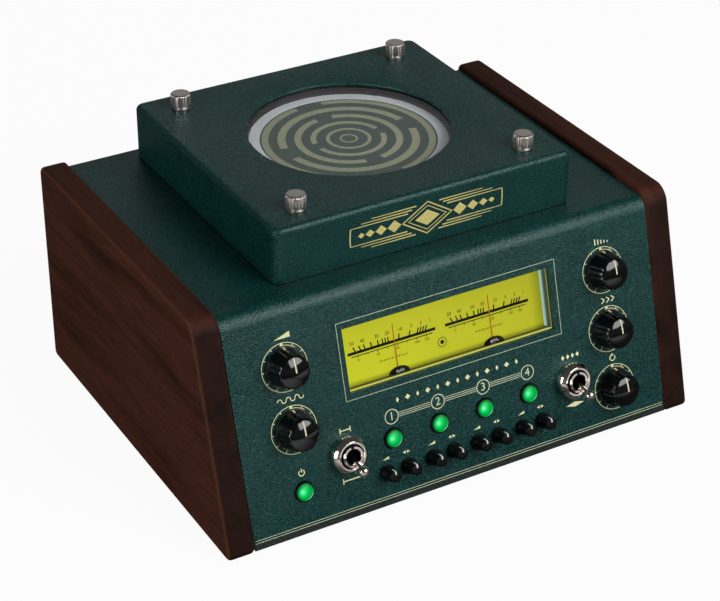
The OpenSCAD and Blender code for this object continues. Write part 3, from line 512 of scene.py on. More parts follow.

# %% [markdown]
# ## Walnut
# The cheeks are oiled walnut with the grain from front to back. Noise stretched along that direction
# gives bands, streaks and pores, each darkening the one before. End grain is darker, the top faces carry
# painted shade, the right cheek's inner half a little painted light, and the eased outer rims a painted
# highlight. Two attributes of the boards, made in the next cell, say where.

# %% Walnut finish
walnut, tree, shader = new_finish("walnut", Specular_IOR_Level=0.12)
bands = noise(tree, object_place(tree, (1.0, 0.1, 1.0)), 75, 4.0, 0.6, 0.4)
streaks = noise(tree, object_place(tree, (1.0, 0.07, 1.0)), 620, 3.0, 0.7)
pores = noise(tree, object_place(tree, (1.0, 0.05, 1.0)), 1900, 1.0)
figure = ramp(
    tree, bands, (0.3, rgb(60, 32, 23)), (0.46, rgb(82, 44, 31)), (0.6, rgb(94, 52, 37)),
    (0.78, rgb(68, 37, 27))
)
lines = ramp(tree, streaks, (0.36, grey(0.4)), (0.56, WHITE))
specks = ramp(tree, pores, (0.3, grey(0.35)), (0.45, WHITE))
# Darker end grain, with painted shade on the top faces, from the first attribute.
end_grain_and_shade_share = add_node(tree, "Attribute", attribute_name="end_grain_and_top_shade").outputs["Fac"]
end_grain_and_shade_tone = ramp(tree, end_grain_and_shade_share, (0.5, WHITE), (1.0, (0.17, 0.2, 0.24, 1)))
# A painted highlight along the eased outer rims, from the second attribute.
rim_highlight_attribute = add_node(tree, "Attribute", attribute_name="rim_painted_highlight").outputs["Fac"]
rim_highlight_mix = spread(tree, rim_highlight_attribute, 0.0, 0.4, 0.4, 1.0)
wood = shaded(tree, shaded(tree, figure, lines, 0.4), specks, 0.45)
wood = mixed(tree, rim_highlight_mix, shaded(tree, wood, end_grain_and_shade_tone), rgb(112, 72, 54))
fill_inputs(tree, shader, {"Base Color": wood, "Roughness": spread(tree, streaks, 0.5, 0.68, 0.3, 0.7)})
bump(tree, shader, specks, 0.3, 0.0003)
print("walnut ready")

# %% [markdown]
# ## Cheek boards
# The solid cheeks have coarse facets on their eased edges, so each board is modelled again. An outline is
# pulled to the board's thickness, then its corners and rims are rounded. Thin loops just inside the flat
# faces keep them flat under smooth shading.

# %% Cheek boards
CHEEK_PROUD = 0.8
CHEEK_CORNER = 11.0
LOW_CORNER = 4.0
CHEEK_EASE = 2.5
FLAT_AREA = 500
FLAT_LOOP = 0.4
# Painted shade on the top faces, and less of it, a painted light, on the right cheek's inner half.
TOP_PAINTED_SHADE = 0.72
INNER_PAINTED_LIGHT = 0.95
lean = math.atan2(panel_out.z, -panel_out.y)


def verts_of(parts):
    """The vertices among the parts that an operator returns."""
    return [part for part in parts if isinstance(part, bmesh.types.BMVert)]


def cheek_front(z):
    """How far forward the cheek's front lies at a height, in millimetres."""
    return case_low.y / MM - CHEEK_PROUD / math.cos(lean) + (z - case_low.z / MM) * math.tan(lean)


def rounded(bm, edges, offset, segments):
    """Rounds edges off."""
    bmesh.ops.bevel(bm, geom=edges, offset=offset, affect="EDGES", segments=segments, profile=0.5, material=-1)


def cheek_board(name):
    """One cheek: outline, thickness, round corners, eased rims."""
    low, high = (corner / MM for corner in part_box(name))
    outward = math.copysign(1, low.x)
    bm = bmesh.new()
    outline = [(cheek_front(low.z), low.z), (cheek_front(high.z), high.z), (high.y, high.z), (high.y, low.z)]
    face = bm.faces.new([bm.verts.new((low.x, y, z)) for y, z in outline])
    pulled = bmesh.ops.extrude_face_region(bm, geom=[face])["geom"]
    bmesh.ops.translate(bm, verts=verts_of(pulled), vec=(high.x - low.x, 0, 0))
    bmesh.ops.recalc_face_normals(bm, faces=bm.faces)
    across = [edge for edge in bm.edges if abs(edge.verts[0].co.x - edge.verts[1].co.x) > 1]
    big = [edge for edge in across if edge.verts[0].co.z > high.z - 1 and edge.verts[0].co.y < high.y - 1]
    small = [edge for edge in across if edge not in big]
    rounded(bm, big, CHEEK_CORNER * math.tan((math.pi / 2 - lean) / 2), 10)
    rounded(bm, small, LOW_CORNER, 5)
    rims = [edge for edge in bm.edges if abs(edge.verts[0].co.x - edge.verts[1].co.x) < 0.01]
    rounded(bm, rims, CHEEK_EASE, 4)
    flat = [face for face in bm.faces if face.calc_area() > FLAT_AREA]
    bmesh.ops.inset_individual(bm, faces=flat, thickness=FLAT_LOOP, use_even_offset=True)
    bm.normal_update()
    end_grain_and_top_shade = bm.verts.layers.float.new("end_grain_and_top_shade")
    rim_painted_highlight = bm.verts.layers.float.new("rim_painted_highlight")
    # Per vertex: darker end grain, painted shade on the top faces, a little painted light on the right cheek's
    # inner half, and a painted highlight on the eased outer rims.
    for vert in bm.verts:
        side = max(0.0, vert.normal.x * outward) ** 2
        vert[end_grain_and_top_shade] = max(abs(vert.normal.y), TOP_PAINTED_SHADE * vert.normal.z)
        if outward > 0 and vert.co.x < (low.x + high.x) / 2:
            vert[end_grain_and_top_shade] *= INNER_PAINTED_LIGHT
        vert[rim_painted_highlight] = 4 * side * (1 - side)
    make_piece(name + "_board", bm, Matrix.Identity(4), [walnut], "case", [name], 50)


for side in ("left_cheek", "right_cheek"):
    cheek_board(side)

# %% [markdown]
# ## Metals
# Bright metal is mostly reflection, so its finish is a colour, a roughness and a little unevenness.
# Brushed metal also carries fine lines, and noise stretched along one axis is enough for that.

# %% Metal finishes
def metal(name, colour, low, high, scale=300, stretch=(1, 1, 1), relief=0.0):
    """A metal whose roughness wanders between two values."""
    finish, tree, shader = new_finish(name, Base_Color=colour, Metallic=1.0)
    wear = noise(tree, object_place(tree, stretch), scale, 3.0, 0.6)
    tree.links.new(spread(tree, wear, low, high, 0.3, 0.7), shader.inputs["Roughness"])
    if relief:
        bump(tree, shader, wear, relief, 0.0002)
    return finish


chrome = metal("chrome", rgb(236, 226, 218), 0.1, 0.16, 160)
lever_metal = metal("lever_metal", rgb(228, 222, 216), 0.14, 0.22, 160)
nickel = metal("nickel", rgb(216, 208, 202), 0.28, 0.42, 420, relief=0.1)
zinc = metal("zinc_steel", rgb(190, 190, 186), 0.3, 0.45, 220)
steel = metal("movement_steel", rgb(170, 170, 168), 0.3, 0.45)
dark_steel = metal("dark_steel", rgb(46, 43, 42), 0.35, 0.5)
aluminium = metal("aluminium", rgb(196, 196, 196), 0.32, 0.5, 500, (1, 0.02, 1), 0.08)
brass = metal("brass", rgb(206, 172, 104), 0.2, 0.35, 260)
dress(dark_steel, "toggle_switches")
dress(zinc, "cheek_screws", "pot_bodies", "motor", "drum_spindle")
dress(steel, "meter_movements", "magnetic_heads")
dress(aluminium, "deck_plate", "lid_posts")
dress(brass, "motor_pulley", "drum_bearing")
print("metals on switches and drive")

# %% [markdown]
# ## Plastics, rubber and boards
# Black parts are never one flat black: mouldings have a slight satin grain, rubber is duller, and the
# knobs are polished. One function makes them all from a colour, a gloss range and a grain size.

# %% Plastic finishes
def moulded(name, colour, low, high, scale, relief, specular=0.5, glow=0.0):
    """Moulded plastic, ink or rubber with a fine grain; a little glow keeps fine print readable."""
    finish, tree, shader = new_finish(
        name, Specular_IOR_Level=specular, Emission_Color=colour, Emission_Strength=glow
    )
    grain = noise(tree, object_place(tree), scale, 3.0, 0.6)
    darker = tuple(c * 0.7 for c in colour[:3]) + (1.0,)
    tone = ramp(tree, grain, (0.3, darker), (0.7, colour))
    fill_inputs(tree, shader, {"Base Color": tone, "Roughness": spread(tree, grain, low, high, 0.3, 0.7)})
    bump(tree, shader, grain, relief, 0.0002)
    return finish


black_plastic = moulded("black_plastic", rgb(24, 24, 26), 0.35, 0.5, 1200, 0.15, 0.35)
knob_black = moulded("knob_black", rgb(6, 6, 8), 0.05, 0.12, 600, 0.02, 0.65)
cap_black = moulded("cap_black", rgb(8, 8, 9), 0.3, 0.42, 800, 0.05, 0.3)
bezel_black = moulded("bezel_black", rgb(8, 8, 9), 0.4, 0.55, 900, 0.1, 0.2)
rubber = moulded("black_rubber", rgb(34, 34, 34), 0.7, 0.9, 1500, 0.3, 0.3)
seal = moulded("window_seal", rgb(34, 27, 29), 0.5, 0.65, 900, 0.1, 0.2)
satin = moulded("satin_rim", rgb(222, 222, 228), 0.3, 0.45, 1400, 0.1)
board = moulded("circuit_board", rgb(22, 86, 52), 0.35, 0.5, 700, 0.1)
dress(black_plastic, "meter_housing", "button_switches", "small_pots", "rear_sockets")
dress(bezel_black, "button_bezels")
dress(rubber, "rubber_feet", "drive_belt")
dress(seal, "window_retainer")
dress(satin, "drum_rim")
dress(board, "control_boards", "main_board")
print("plastics, rubber and boards finished")

# %% [markdown]
# ## Clear windows
# The lid's round window and the meter's pane are clear acrylic. Glass in a path tracer blocks the lamps'
# direct light, and what is behind it goes dark, so a shadow ray passes straight through.

# %% Clear acrylic
acrylic, tree, shader = new_finish(
    "clear_acrylic", Base_Color=(0.97, 0.99, 0.98, 1), Roughness=0.01, IOR=1.3, Transmission_Weight=1.0
)
clear = add_node(tree, "BsdfTransparent", {"Color": (0.95, 0.97, 0.96, 1)})
shadow = add_node(tree, "LightPath").outputs["Is Shadow Ray"]
pane = blend(tree, shadow, shader.outputs[0], clear.outputs[0])
tree.links.new(pane, tree.nodes["Material Output"].inputs["Surface"])
dress(acrylic, "meter_window", "lid_window")
print("glazed the lid and the meter")

# %% [markdown]
# ## Flat shapes for printing
# Lines, rings and numerals are screen printed in pale gold. They could be painted by the shader, but
# printed shapes are crisper as real, very thin plates. Each helper below adds one flat shape to a mesh.

# %% Flat shapes
def flat_shape(bm, points):
    """One flat face through points."""
    return bm.faces.new([bm.verts.new((x, y, 0)) for x, y in points])


def flat_bar(bm, start, end, width, end_width=None):
    """A straight bar, which may taper."""
    start, end = Vector(start), Vector(end)
    across = (end - start).orthogonal().normalized() / 2
    near = across * width
    far = across * (width if end_width is None else end_width)
    flat_shape(bm, [start + near, start - near, end - far, end + far])


def flat_arc(bm, centre, radius, width, first=0, last=360, steps=64):
    """A band round a centre, from one clock angle to another, in degrees from the top."""
    angle = math.radians(first)
    out = Vector((math.sin(angle), math.cos(angle), 0))
    ends = [bm.verts.new(Vector((*centre, 0)) + out * (radius + half)) for half in (-width / 2, width / 2)]
    edge = bm.edges.new(ends)
    bmesh.ops.spin(
        bm, geom=[edge, *ends], cent=(*centre, 0), axis=(0, 0, 1), angle=math.radians(first - last),
        steps=steps, use_merge=last - first >= 360
    )


def flat_lozenge(bm, centre, half_width, half_height):
    """A solid lozenge."""
    x, y = centre
    flat_shape(bm, [(x - half_width, y), (x, y - half_height), (x + half_width, y), (x, y + half_height)])


def flat_frame(bm, points, width):
    """A closed line of bars through points."""
    for start, end in zip(points, points[1:] + points[:1]):
        along = (Vector(end) - Vector(start)).normalized() * width / 2
        flat_bar(bm, Vector(start) - along, Vector(end) + along, width)


gold_ink = moulded("gold_ink", rgb(240, 238, 186), 0.45, 0.6, 800, 0.05, 0.2, 0.2)
lid_gold = moulded("lid_gold", rgb(222, 210, 132), 0.4, 0.55, 800, 0.05, 0.3, 0.12)
line_ink = moulded("line_ink", rgb(226, 232, 194), 0.45, 0.6, 800, 0.05, 0.2, 0.15)
print("mixed three inks")

# %% [markdown]
# ## Numerals and the ink's thickness
# A numeral starts as a text curve, which is turned into a mesh and then thrown away. One last step gives
# all the flat shapes of a mesh the thickness of the ink.

# %% Numerals and ink
INK = 0.05


def flat_numeral(bm, text, centre, size):
    """A numeral made a mesh and laid at a centre."""
    curve = bpy.data.curves.new("numeral", "FONT")
    curve.body = text
    curve.size = size
    curve.align_x = "CENTER"
    curve.align_y = "CENTER"
    holder = bpy.data.objects.new("numeral", curve)
    bpy.context.collection.objects.link(holder)
    shape = bpy.data.meshes.new_from_object(holder.evaluated_get(bpy.context.evaluated_depsgraph_get()))
    shape.transform(Matrix.Translation((*centre, 0)))
    bm.from_mesh(shape)
    bpy.data.objects.remove(holder)
    bpy.data.curves.remove(curve)
    bpy.data.meshes.remove(shape)


def ink(bm, height=INK):
    """Gives all flat shapes the same small thickness, upwards."""
    bm.normal_update()
    for face in bm.faces:
        if face.normal.z < 0:
            face.normal_flip()
    raised = bmesh.ops.extrude_face_region(bm, geom=bm.faces[:])["geom"]
    bmesh.ops.translate(bm, verts=verts_of(raised), vec=(0, 0, height))


# %% [markdown]
# ## Panel lines
# A fine frame surrounds the meter, two lines run along the lower edge, and numbered rings joined by
# lines stand over the four lit buttons. A press has no pivot point in the frame, so the middle of a
# button's box gives its place.

# %% Meter frame, base lines and numbered rings
def node_spot(name):
    """The middle of a node, in panel millimetres."""
    low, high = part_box(name)
    return panel_spot((low + high) / 2)


FRAME_X = (-66.7, 67.7)
FRAME_UP = (63.5, 105.95)
BASE_LINES = (5.17, 3.8)
BASE_INSET = 1
RING_UP = 47.9
RING_SHIFT = 0.7
RING_RADIUS = 3.95
RING_GAP = RING_RADIUS + 0.6
JOIN_ROWS = (-1.1, 0, 1.1)
head_spots = [node_spot("head_button_%d" % number) for number in (1, 2, 3, 4)]
bm = bmesh.new()
left, right = FRAME_X
low, high = FRAME_UP
flat_frame(bm, [(left, low), (right, low), (right, high), (left, high)], 0.26)
base_half = case_high.x / MM - BASE_INSET
for up in BASE_LINES:
    flat_bar(bm, (-base_half, up), (base_half, up), 0.27)
centres = [(spot.x + RING_SHIFT, RING_UP) for spot in head_spots]
for number, centre in enumerate(centres, 1):
    flat_arc(bm, centre, RING_RADIUS, 0.5)
    flat_numeral(bm, str(number), centre, 6.4)
for here, there in zip(centres, centres[1:]):
    for row in JOIN_ROWS:
        flat_bar(bm, (here[0] + RING_GAP, RING_UP + row), (there[0] - RING_GAP, RING_UP + row), 0.3)
ink(bm)
make_piece("panel_lines", bm, PANEL, [line_ink], "case")

# %% [markdown]
# ## Knob scales
# A thin ring surrounds each large knob, with a short inner arc at the upper right, ticks every thirty
# degrees and a small block at twelve o'clock. The knob's pivot in the frame is the centre.

# %% Knob scales
KNOBS = ("gain_knob", "tone_knob", "echo_knob", "speed_knob", "repeat_knob")
SCALE_RADIUS = 13.0
SCALE_INNER = 11.6
BLOCK_HALF = Vector((0, 0.9))
bm = bmesh.new()
for name in KNOBS:
    centre = panel_spot(pivot(name + "_turn")).to_2d()
    flat_arc(bm, centre, SCALE_RADIUS, 0.33, steps=72)
    flat_arc(bm, centre, SCALE_INNER, 0.3, 0, 40)
    for angle in range(-150, 151, 30):
        turn = math.radians(angle)
        out = Vector((math.sin(turn), math.cos(turn)))
        flat_bar(bm, centre + out * (SCALE_RADIUS - 0.22), centre + out * (SCALE_INNER + 0.13), 0.4)
    middle = centre + Vector((0, (SCALE_RADIUS + SCALE_INNER) / 2))
    flat_bar(bm, middle - BLOCK_HALF, middle + BLOCK_HALF, 1.6)
ink(bm)
make_piece("knob_scales", bm, PANEL, [gold_ink], "case")

# %% [markdown]
# ## Signs for the controls
# Plain signs say what each control does: a wedge for level, a wave for tone, fading bars for echoes,
# chevrons for speed, a turning arrow for repeats. A small function draws each sign round its own middle.

# %% Control signs
def wedge(bm, x, y, half=4.6, rise=1.5):
    flat_shape(bm, [(x - half, y - rise), (x + half, y - rise), (x + half, y + rise)])


def wave(bm, x, y, half=1.25):
    for step in range(6):
        first = -90 if step % 2 == 0 else 90
        flat_arc(bm, (x + (2 * step - 5) * half, y), half, 0.5, first, first + 180, 16)


def fading_bars(bm, x, y):
    for step, rise in enumerate((1.7, 1.4, 1.1, 0.8, 0.5)):
        flat_bar(bm, (x - 4 + 2 * step, y - 1.7), (x - 4 + 2 * step, y - 1.7 + 2 * rise), 0.7)


def chevrons(bm, x, y):
    for shift in (-3.2, 0, 3.2):
        tip = (x + shift + 1.4, y)
        for rise in (-1.6, 1.6):
            flat_bar(bm, (x + shift - 0.6, y + rise), tip, 0.6)


def turning_arrow(bm, x, y):
    flat_arc(bm, (x, y), 1.7, 0.55, 60, 350, 40)
    flat_shape(bm, [(x - 0.5, y + 0.8), (x + 1.1, y + 1.75), (x - 0.5, y + 2.7)])


def lozenges(bm, x, y):
    for step in (-1.5, -0.5, 0.5, 1.5):
        flat_lozenge(bm, (x + 3.2 * step, y), 1.1, 1.4)


def span(bm, x, y, half):
    flat_bar(bm, (x - half, y), (x + half, y), 0.6)
    for end in (-half, half):
        flat_bar(bm, (x + end, y - 1.5), (x + end, y + 1.5), 0.6)


def ring_and_bar(bm, x, y):
    flat_arc(bm, (x, y), 1.6, 0.55, 35, 325, 40)
    flat_bar(bm, (x, y + 0.3), (x, y + 2.3), 0.6)


def balance(bm, x, y):
    for way in (-1, 1):
        flat_shape(bm, [(x + way * 0.4, y - 0.9), (x + way * 2.2, y), (x + way * 0.4, y + 0.9)])


# %% [markdown]
# ## Placing the signs
# Each sign stands over or under its control, in panel millimetres.

# %% Signs in their places
SIGN_ROW = 56.0
SIGN_STEP = 6.2
SMALL_SIGN_UP = 26.3
bm = bmesh.new()
wedge(bm, -97.5, 108.4)
wave(bm, -97.7, 74.4)
fading_bars(bm, 99.1, 108.3)
chevrons(bm, 99.3, 74.4)
turning_arrow(bm, 98.9, 40.6)
lozenges(bm, 71.5, 49.3)
flat_lozenge(bm, (71.4, 21.2), 6.0, 1.5)
span(bm, -69.8, 48.8, 3.0)
span(bm, -68.9, 21.2, 6.0)
ring_and_bar(bm, -97.8, 33.6)
for spot in head_spots:
    wedge(bm, spot.x - 6.2, SMALL_SIGN_UP, 2.1, 0.8)
    balance(bm, spot.x + 6.4, SMALL_SIGN_UP)
for step in range(-6, 7):
    flat_lozenge(bm, (SIGN_STEP * step, SIGN_ROW), 0.9 + 0.7 * (step % 2), 1.5)
ink(bm)
make_piece("control_signs", bm, PANEL, [gold_ink], "case")

# %% [markdown]
# ## Ornament on the lid
# The lid's front carries a gold ornament of our own: a large lozenge in the middle, smaller ones to both
# sides, and lines above and below that taper off.

# %% Lid ornament
SIDE_LOZENGES = ((20, 4.2, 3.6), (28, 3.4, 2.9), (34.6, 2.7, 2.2), (39.8, 2.0, 1.6))
SIDE_LINES = ((5.2, 12, 46), (6.8, 9.5, 40), (8.4, 7, 34))
bm = bmesh.new()
flat_frame(bm, [(-15, 0), (0, -9.4), (15, 0), (0, 9.4)], 0.7)
flat_frame(bm, [(-11.5, 0), (0, -7.1), (11.5, 0), (0, 7.1)], 0.45)
flat_lozenge(bm, (0, 0), 7.5, 4.6)
for way in (-1, 1):
    for x, half_width, half_height in SIDE_LOZENGES:
        flat_lozenge(bm, (way * x, 0), half_width, half_height)
    for y, start, end in SIDE_LINES:
        for side in (-1, 1):
            flat_bar(bm, (way * start, side * y), (way * end, side * y), 0.75, 0.35)
    flat_arc(bm, (0, 0), 46.5, 0.7, way * 90 - 6.5, way * 90 + 6.5, 12)
ink(bm)
make_piece("lid_ornament", bm, LID_FRONT, [lid_gold], "lid")

# %% [markdown]
# ## Large knobs
# The large knobs are polished black mouldings: a plain foot, a fluted body that narrows upwards and a
# slightly domed top, since a flat one would mirror a single spot of the studio. A circle is extruded ring
# by ring, and the body's rings are pulled in at the flutes.

# %% Stacked rings and the knob's dome
FLUTES = 14
DOME_RADIUS = 7.7
DOME_EDGE = 12.25
DOME_RISE = 1.45


def stacked_rings(bm, rings, segments, flutes=FLUTES):
    """A round body from rings of (height, radius, flute depth), closed at both ends."""
    height, radius, depth = rings[0]
    first = bmesh.ops.create_circle(bm, cap_ends=True, segments=segments, radius=radius)["verts"]
    bmesh.ops.translate(bm, verts=first, vec=(0, 0, height))
    edges = bm.edges[:]
    for height, radius, depth in rings[1:]:
        pulled = bmesh.ops.extrude_edge_only(bm, edges=edges)["geom"]
        edges = [part for part in pulled if isinstance(part, bmesh.types.BMEdge)]
        for vert in verts_of(pulled):
            angle = math.atan2(vert.co.y, vert.co.x)
            dent = max(0.0, math.cos(angle * flutes)) ** 1.5 * depth
            vert.co = Vector((math.cos(angle), math.sin(angle), 0)) * (radius - dent)
            vert.co.z = height
    bmesh.ops.edgeloop_fill(bm, edges=edges)


def dome(reach):
    """Height of the knob's top at a distance from its middle."""
    return DOME_EDGE + DOME_RISE * (1 - (reach / DOME_RADIUS) ** 2)


print("dome from", dome(DOME_RADIUS), "to", dome(0), "mm")

# %% [markdown]
# ## Knobs and their pointers
# The pointer is a strip of ivory paint that follows the dome, and a second tick marks the foot. Both are
# paths with a width, thickened like ink.

# %% Large knobs
KNOB_RINGS = [
    (0.6, 10.9, 0), (0.75, 11.2, 0), (1.6, 11.16, 0), (2.8, 10.9, 0.1), (4.2, 10.5, 0.35), (7.0, 9.85, 0.4),
    (10.2, 9.15, 0.4), (10.9, 8.98, 0.35), (11.45, 8.7, 0.35), (11.85, 8.33, 0.2), (12.1, 7.98, 0.06)
]
KNOB_RINGS += [(dome(reach), reach, 0) for reach in (7.7, 7.0, 6.0, 4.8, 3.6, 2.4, 1.2)]
POINTER = [(reach, dome(reach)) for reach in (0.2, 1.5, 3, 4.5, 6, 7, 7.7)]
FOOT_MARK = [(10.52, 4.2), (10.92, 2.8), (11.18, 1.6)]


def painted_strip(bm, path, width, thickness):
    """A strip of paint along a path of (y, z) points."""
    rows = [[bm.verts.new((x, y, z)) for x in (-width / 2, width / 2)] for y, z in path]
    for near, far in zip(rows, rows[1:]):
        bm.faces.new([*near, *reversed(far)])
    ink(bm, thickness)


def knob(name, rings, segments, flutes, finish, paint, marks):
    """A knob on its pivot, with its marks: each an ending for its name, a path, a width and a thickness."""
    spot = panel_spot(pivot(name + "_turn"))
    place = on_panel(spot.x, spot.y)
    bm = bmesh.new()
    stacked_rings(bm, rings, segments, flutes)
    make_piece(name + "_body", bm, place, [finish], name, [name], 40)
    for ending, path, width, thickness in marks:
        bm = bmesh.new()
        painted_strip(bm, path, width, thickness)
        make_piece(name + ending, bm, place, [paint], name)


ivory = moulded("ivory_mark", rgb(246, 238, 200), 0.35, 0.5, 900, 0.05, 0.3, 0.1)
marks = (("_pointer", POINTER, 0.8, 0.08), ("_foot_mark", FOOT_MARK, 0.9, 0.12))
for name in KNOBS:
    knob(name, KNOB_RINGS, FLUTES * 8, FLUTES, knob_black, ivory, marks)

# %% [markdown]
# ## Thumbscrews
# Four ribbed screws hold the lid, made of stacked rings too: a shank, a low collar, a neck that leaves a
# shadow under the head, and a head whose rings are pulled in at twenty grooves.

# %% Thumbscrews
THUMB_RIBS = 20
COLLAR_RINGS = [
    (0.0, 2.0, 0), (0.02, 4.9, 0), (0.2, 5.1, 0), (1.0, 5.1, 0), (1.2, 4.9, 0), (1.22, 4.0, 0), (1.9, 4.0, 0)
]
HEAD_RINGS = [
    (1.92, 4.9, 0), (2.2, 5.3, 0.1), (2.5, 5.6, 0.55), (8.0, 5.6, 0.55), (8.4, 5.45, 0.4), (8.75, 5.1, 0.15),
    (8.95, 4.6, 0), (9.0, 3.4, 0), (9.0, 1.6, 0)
]
for number in (1, 2, 3, 4):
    name = "thumbscrew_%d" % number
    foot = (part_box(name)[0].z - lid_high.z) / MM
    rings = [(foot, 1.7, 0), (foot + 0.4, 2.0, 0)] + COLLAR_RINGS + HEAD_RINGS
    bm = bmesh.new()
    stacked_rings(bm, rings, THUMB_RIBS * 8, THUMB_RIBS)
    axis = pivot(name + "_turn")
    place = Matrix.Translation((axis.x, axis.y, lid_high.z))
    make_piece(name + "_ribbed", bm, place, [nickel], name, [name], 40)

# %% [markdown]
# ## Small knobs
# The eight small knobs are push-on caps: a wide foot, a narrower finger grip with shallow flutes, and a
# white line that starts near the rim of the top and runs down the side.

# %% Small knobs
SMALL_FLUTES = 12
SMALL_RINGS = [
    (0.5, 4.3, 0), (0.65, 4.4, 0), (3.0, 4.28, 0), (3.4, 4.1, 0), (4.2, 3.66, 0), (4.8, 3.6, 0.18),
    (9.2, 3.3, 0.18), (9.7, 3.16, 0.08), (10.0, 2.9, 0), (10.14, 2.5, 0), (10.2, 1.6, 0), (10.2, 0.8, 0)
]
SMALL_POINTER = [(1.3, 10.2), (1.9, 10.18), (2.5, 10.14), (2.9, 10.0), (3.16, 9.7), (3.3, 9.2), (3.46, 6.9)]
white = moulded("white_mark", rgb(250, 250, 246), 0.35, 0.5, 900, 0.05, 0.3)
marks = (("_pointer", SMALL_POINTER, 0.8, 0.1),)
for number in (1, 2, 3, 4):
    for kind in ("volume", "balance"):
        name = "%s_knob_%d" % (kind, number)
        knob(name, SMALL_RINGS, SMALL_FLUTES * 6, SMALL_FLUTES, cap_black, white, marks)

# %% [markdown]
# ## Lit buttons
# Each button is a domed green lens, palest over its lamp left of the middle, deep green near the edge,
# with a bright line at the lower right of the rim. Each vertex keeps its share of light in an attribute,
# which the shader turns into the glow.

# %% Green lenses
LENS_RADIUS = 4.6
LENS_RIM = 1.5
LENS_RISE = 1.3
LENS_DEPTH = 3.5
LENS_REACHES = (0.945, 0.92, 0.88, 0.8, 0.7, 0.6, 0.5, 0.4, 0.3, 0.2, 0.1)
LAMP_SPOT = Vector((-1.9, 0.9))
LAMP_SPREAD = 2.5
RIM_FROM = 0.91
SHADE_FROM = 0.78
BUTTONS = ("bypass_button", "head_button_1", "head_button_2", "head_button_3", "head_button_4")
lit, tree, shader = new_finish(
    "green_lens", Base_Color=rgb(0, 60, 24), Roughness=0.3, Specular_IOR_Level=0.15, Emission_Strength=0.9
)
light = add_node(tree, "Attribute", attribute_name="lamp_light").outputs["Fac"]
glow = ramp(
    tree, light, (0.0, rgb(0, 84, 34)), (0.3, rgb(0, 160, 66)), (0.55, rgb(8, 208, 92)),
    (0.8, rgb(48, 244, 136)), (1.0, rgb(180, 255, 216))
)
tree.links.new(glow, shader.inputs["Emission Color"])


def lamp_light(x, y):
    """The light at a point of the lens, from 0 to 1."""
    spot = Vector((x, y))
    share = 0.32 + 0.62 * math.exp(-((spot - LAMP_SPOT).length / LAMP_SPREAD) ** 2)
    edge = spot.length / LENS_RADIUS
    if edge > RIM_FROM:
        share = 0.1 + 0.9 * max(0.0, (x - y) / spot.length / 1.414) ** 2
    elif edge > SHADE_FROM:
        share *= 0.65
    return min(share, 1.0)


for name in BUTTONS:
    spot = node_spot(name)
    rings = [(-LENS_DEPTH, LENS_RADIUS, 0), (LENS_RIM, LENS_RADIUS, 0)]
    rings.append((LENS_RIM + 0.12, LENS_RADIUS - 0.08, 0))
    for reach in LENS_REACHES:
        rings.append((LENS_RIM + LENS_RISE * (1 - reach ** 2), reach * LENS_RADIUS, 0))
    bm = bmesh.new()
    stacked_rings(bm, rings, 48)
    layer = bm.verts.layers.float.new("lamp_light")
    for vert in bm.verts:
        vert[layer] = lamp_light(vert.co.x, vert.co.y)
    make_piece(name + "_lens", bm, on_panel(spot.x, spot.y), [lit], name, [name], 40)

# %% [markdown]
# ## Toggle switches
# A toggle is all turned metal: a conical nut, a bush whose rim has a key slot at the top, and a lever
# with a ball end. A profile of radius and height is spun round an axis, and the rim stops short of a full
# turn to leave the slot.

# %% Nuts and bush rims
def turned(bm, profile, centre=(0, 0), sweep=360, start=0, steps=64):
    """Spins a profile of (radius, height) points round an upright axis."""
    turn = math.radians(90 - start)
    verts = []
    for radius, height in profile:
        x, y = centre[0] + radius * math.cos(turn), centre[1] + radius * math.sin(turn)
        verts.append(bm.verts.new((x, y, height)))
    edges = [bm.edges.new(pair) for pair in zip(verts, verts[1:])]
    if profile[0][0] > 0:
        edges.append(bm.edges.new((verts[-1], verts[0])))
    full = sweep >= 360
    bmesh.ops.spin(
        bm, geom=[*verts, *edges], cent=(*centre, 0), axis=(0, 0, 1), angle=-math.radians(sweep), steps=steps,
        use_merge=full
    )
    if not full:
        close_rims(bm)


def close_rims(bm):
    """Fills the open ends of a mesh."""
    bmesh.ops.edgeloop_fill(bm, edges=[edge for edge in bm.edges if edge.is_boundary])


NUT_PROFILE = [
    (6.1, 0.05), (9.9, 0.05), (10.1, 0.3), (10.1, 4.5), (9.95, 4.8), (8.4, 6.3), (8.1, 6.6), (7.85, 6.75),
    (6.95, 6.75), (6.7, 6.6), (6.5, 5.6), (6.1, 5.2)
]
RIM_PROFILE = [(4.35, 7.3), (5.9, 7.3), (5.9, 7.5), (5.75, 7.7), (4.6, 7.7), (4.35, 7.5)]
SLOT_ANGLE = 20
levers = ("time_toggle_lever", "mode_toggle_lever")
lever_spots = [panel_spot(pivot(name + "_flip")) for name in levers]
bm = bmesh.new()
for spot in lever_spots:
    turned(bm, NUT_PROFILE, (spot.x, spot.y))
make_piece("toggle_cone_nuts", bm, PANEL, [chrome], "case", ["toggle_nuts"], 30)
for name, spot in zip(levers, lever_spots):
    bm = bmesh.new()
    turned(bm, RIM_PROFILE, (spot.x, spot.y), 360 - SLOT_ANGLE, SLOT_ANGLE / 2)
    make_piece(name + "_bush_rim", bm, PANEL, [chrome], "case", smooth=30)

# %% [markdown]
# ## Toggle levers
# The lever is spun the same way, upright at the origin, and then leaned over at its pivot, because the
# switch rests in its lower position.

# %% Levers
LEVER_PROFILE = [
    (0, -1.4), (1.2, -1.2), (1.75, -0.6), (1.8, 4.0), (1.85, 7.5), (2.1, 10.0), (2.6, 12.4), (2.95, 14.1),
    (3.15, 15.4), (3.05, 16.4), (2.7, 17.2), (2.1, 17.85), (1.3, 18.3), (0.6, 18.5), (0, 18.55)
]
LEVER_LEAN = 20
for name, spot in zip(levers, lever_spots):
    bm = bmesh.new()
    turned(bm, LEVER_PROFILE, steps=48)
    place = on_panel(*spot) @ Matrix.Rotation(math.radians(LEVER_LEAN), 4, "X")
    make_piece(name + "_stick", bm, place, [lever_metal], name, [name], 50)
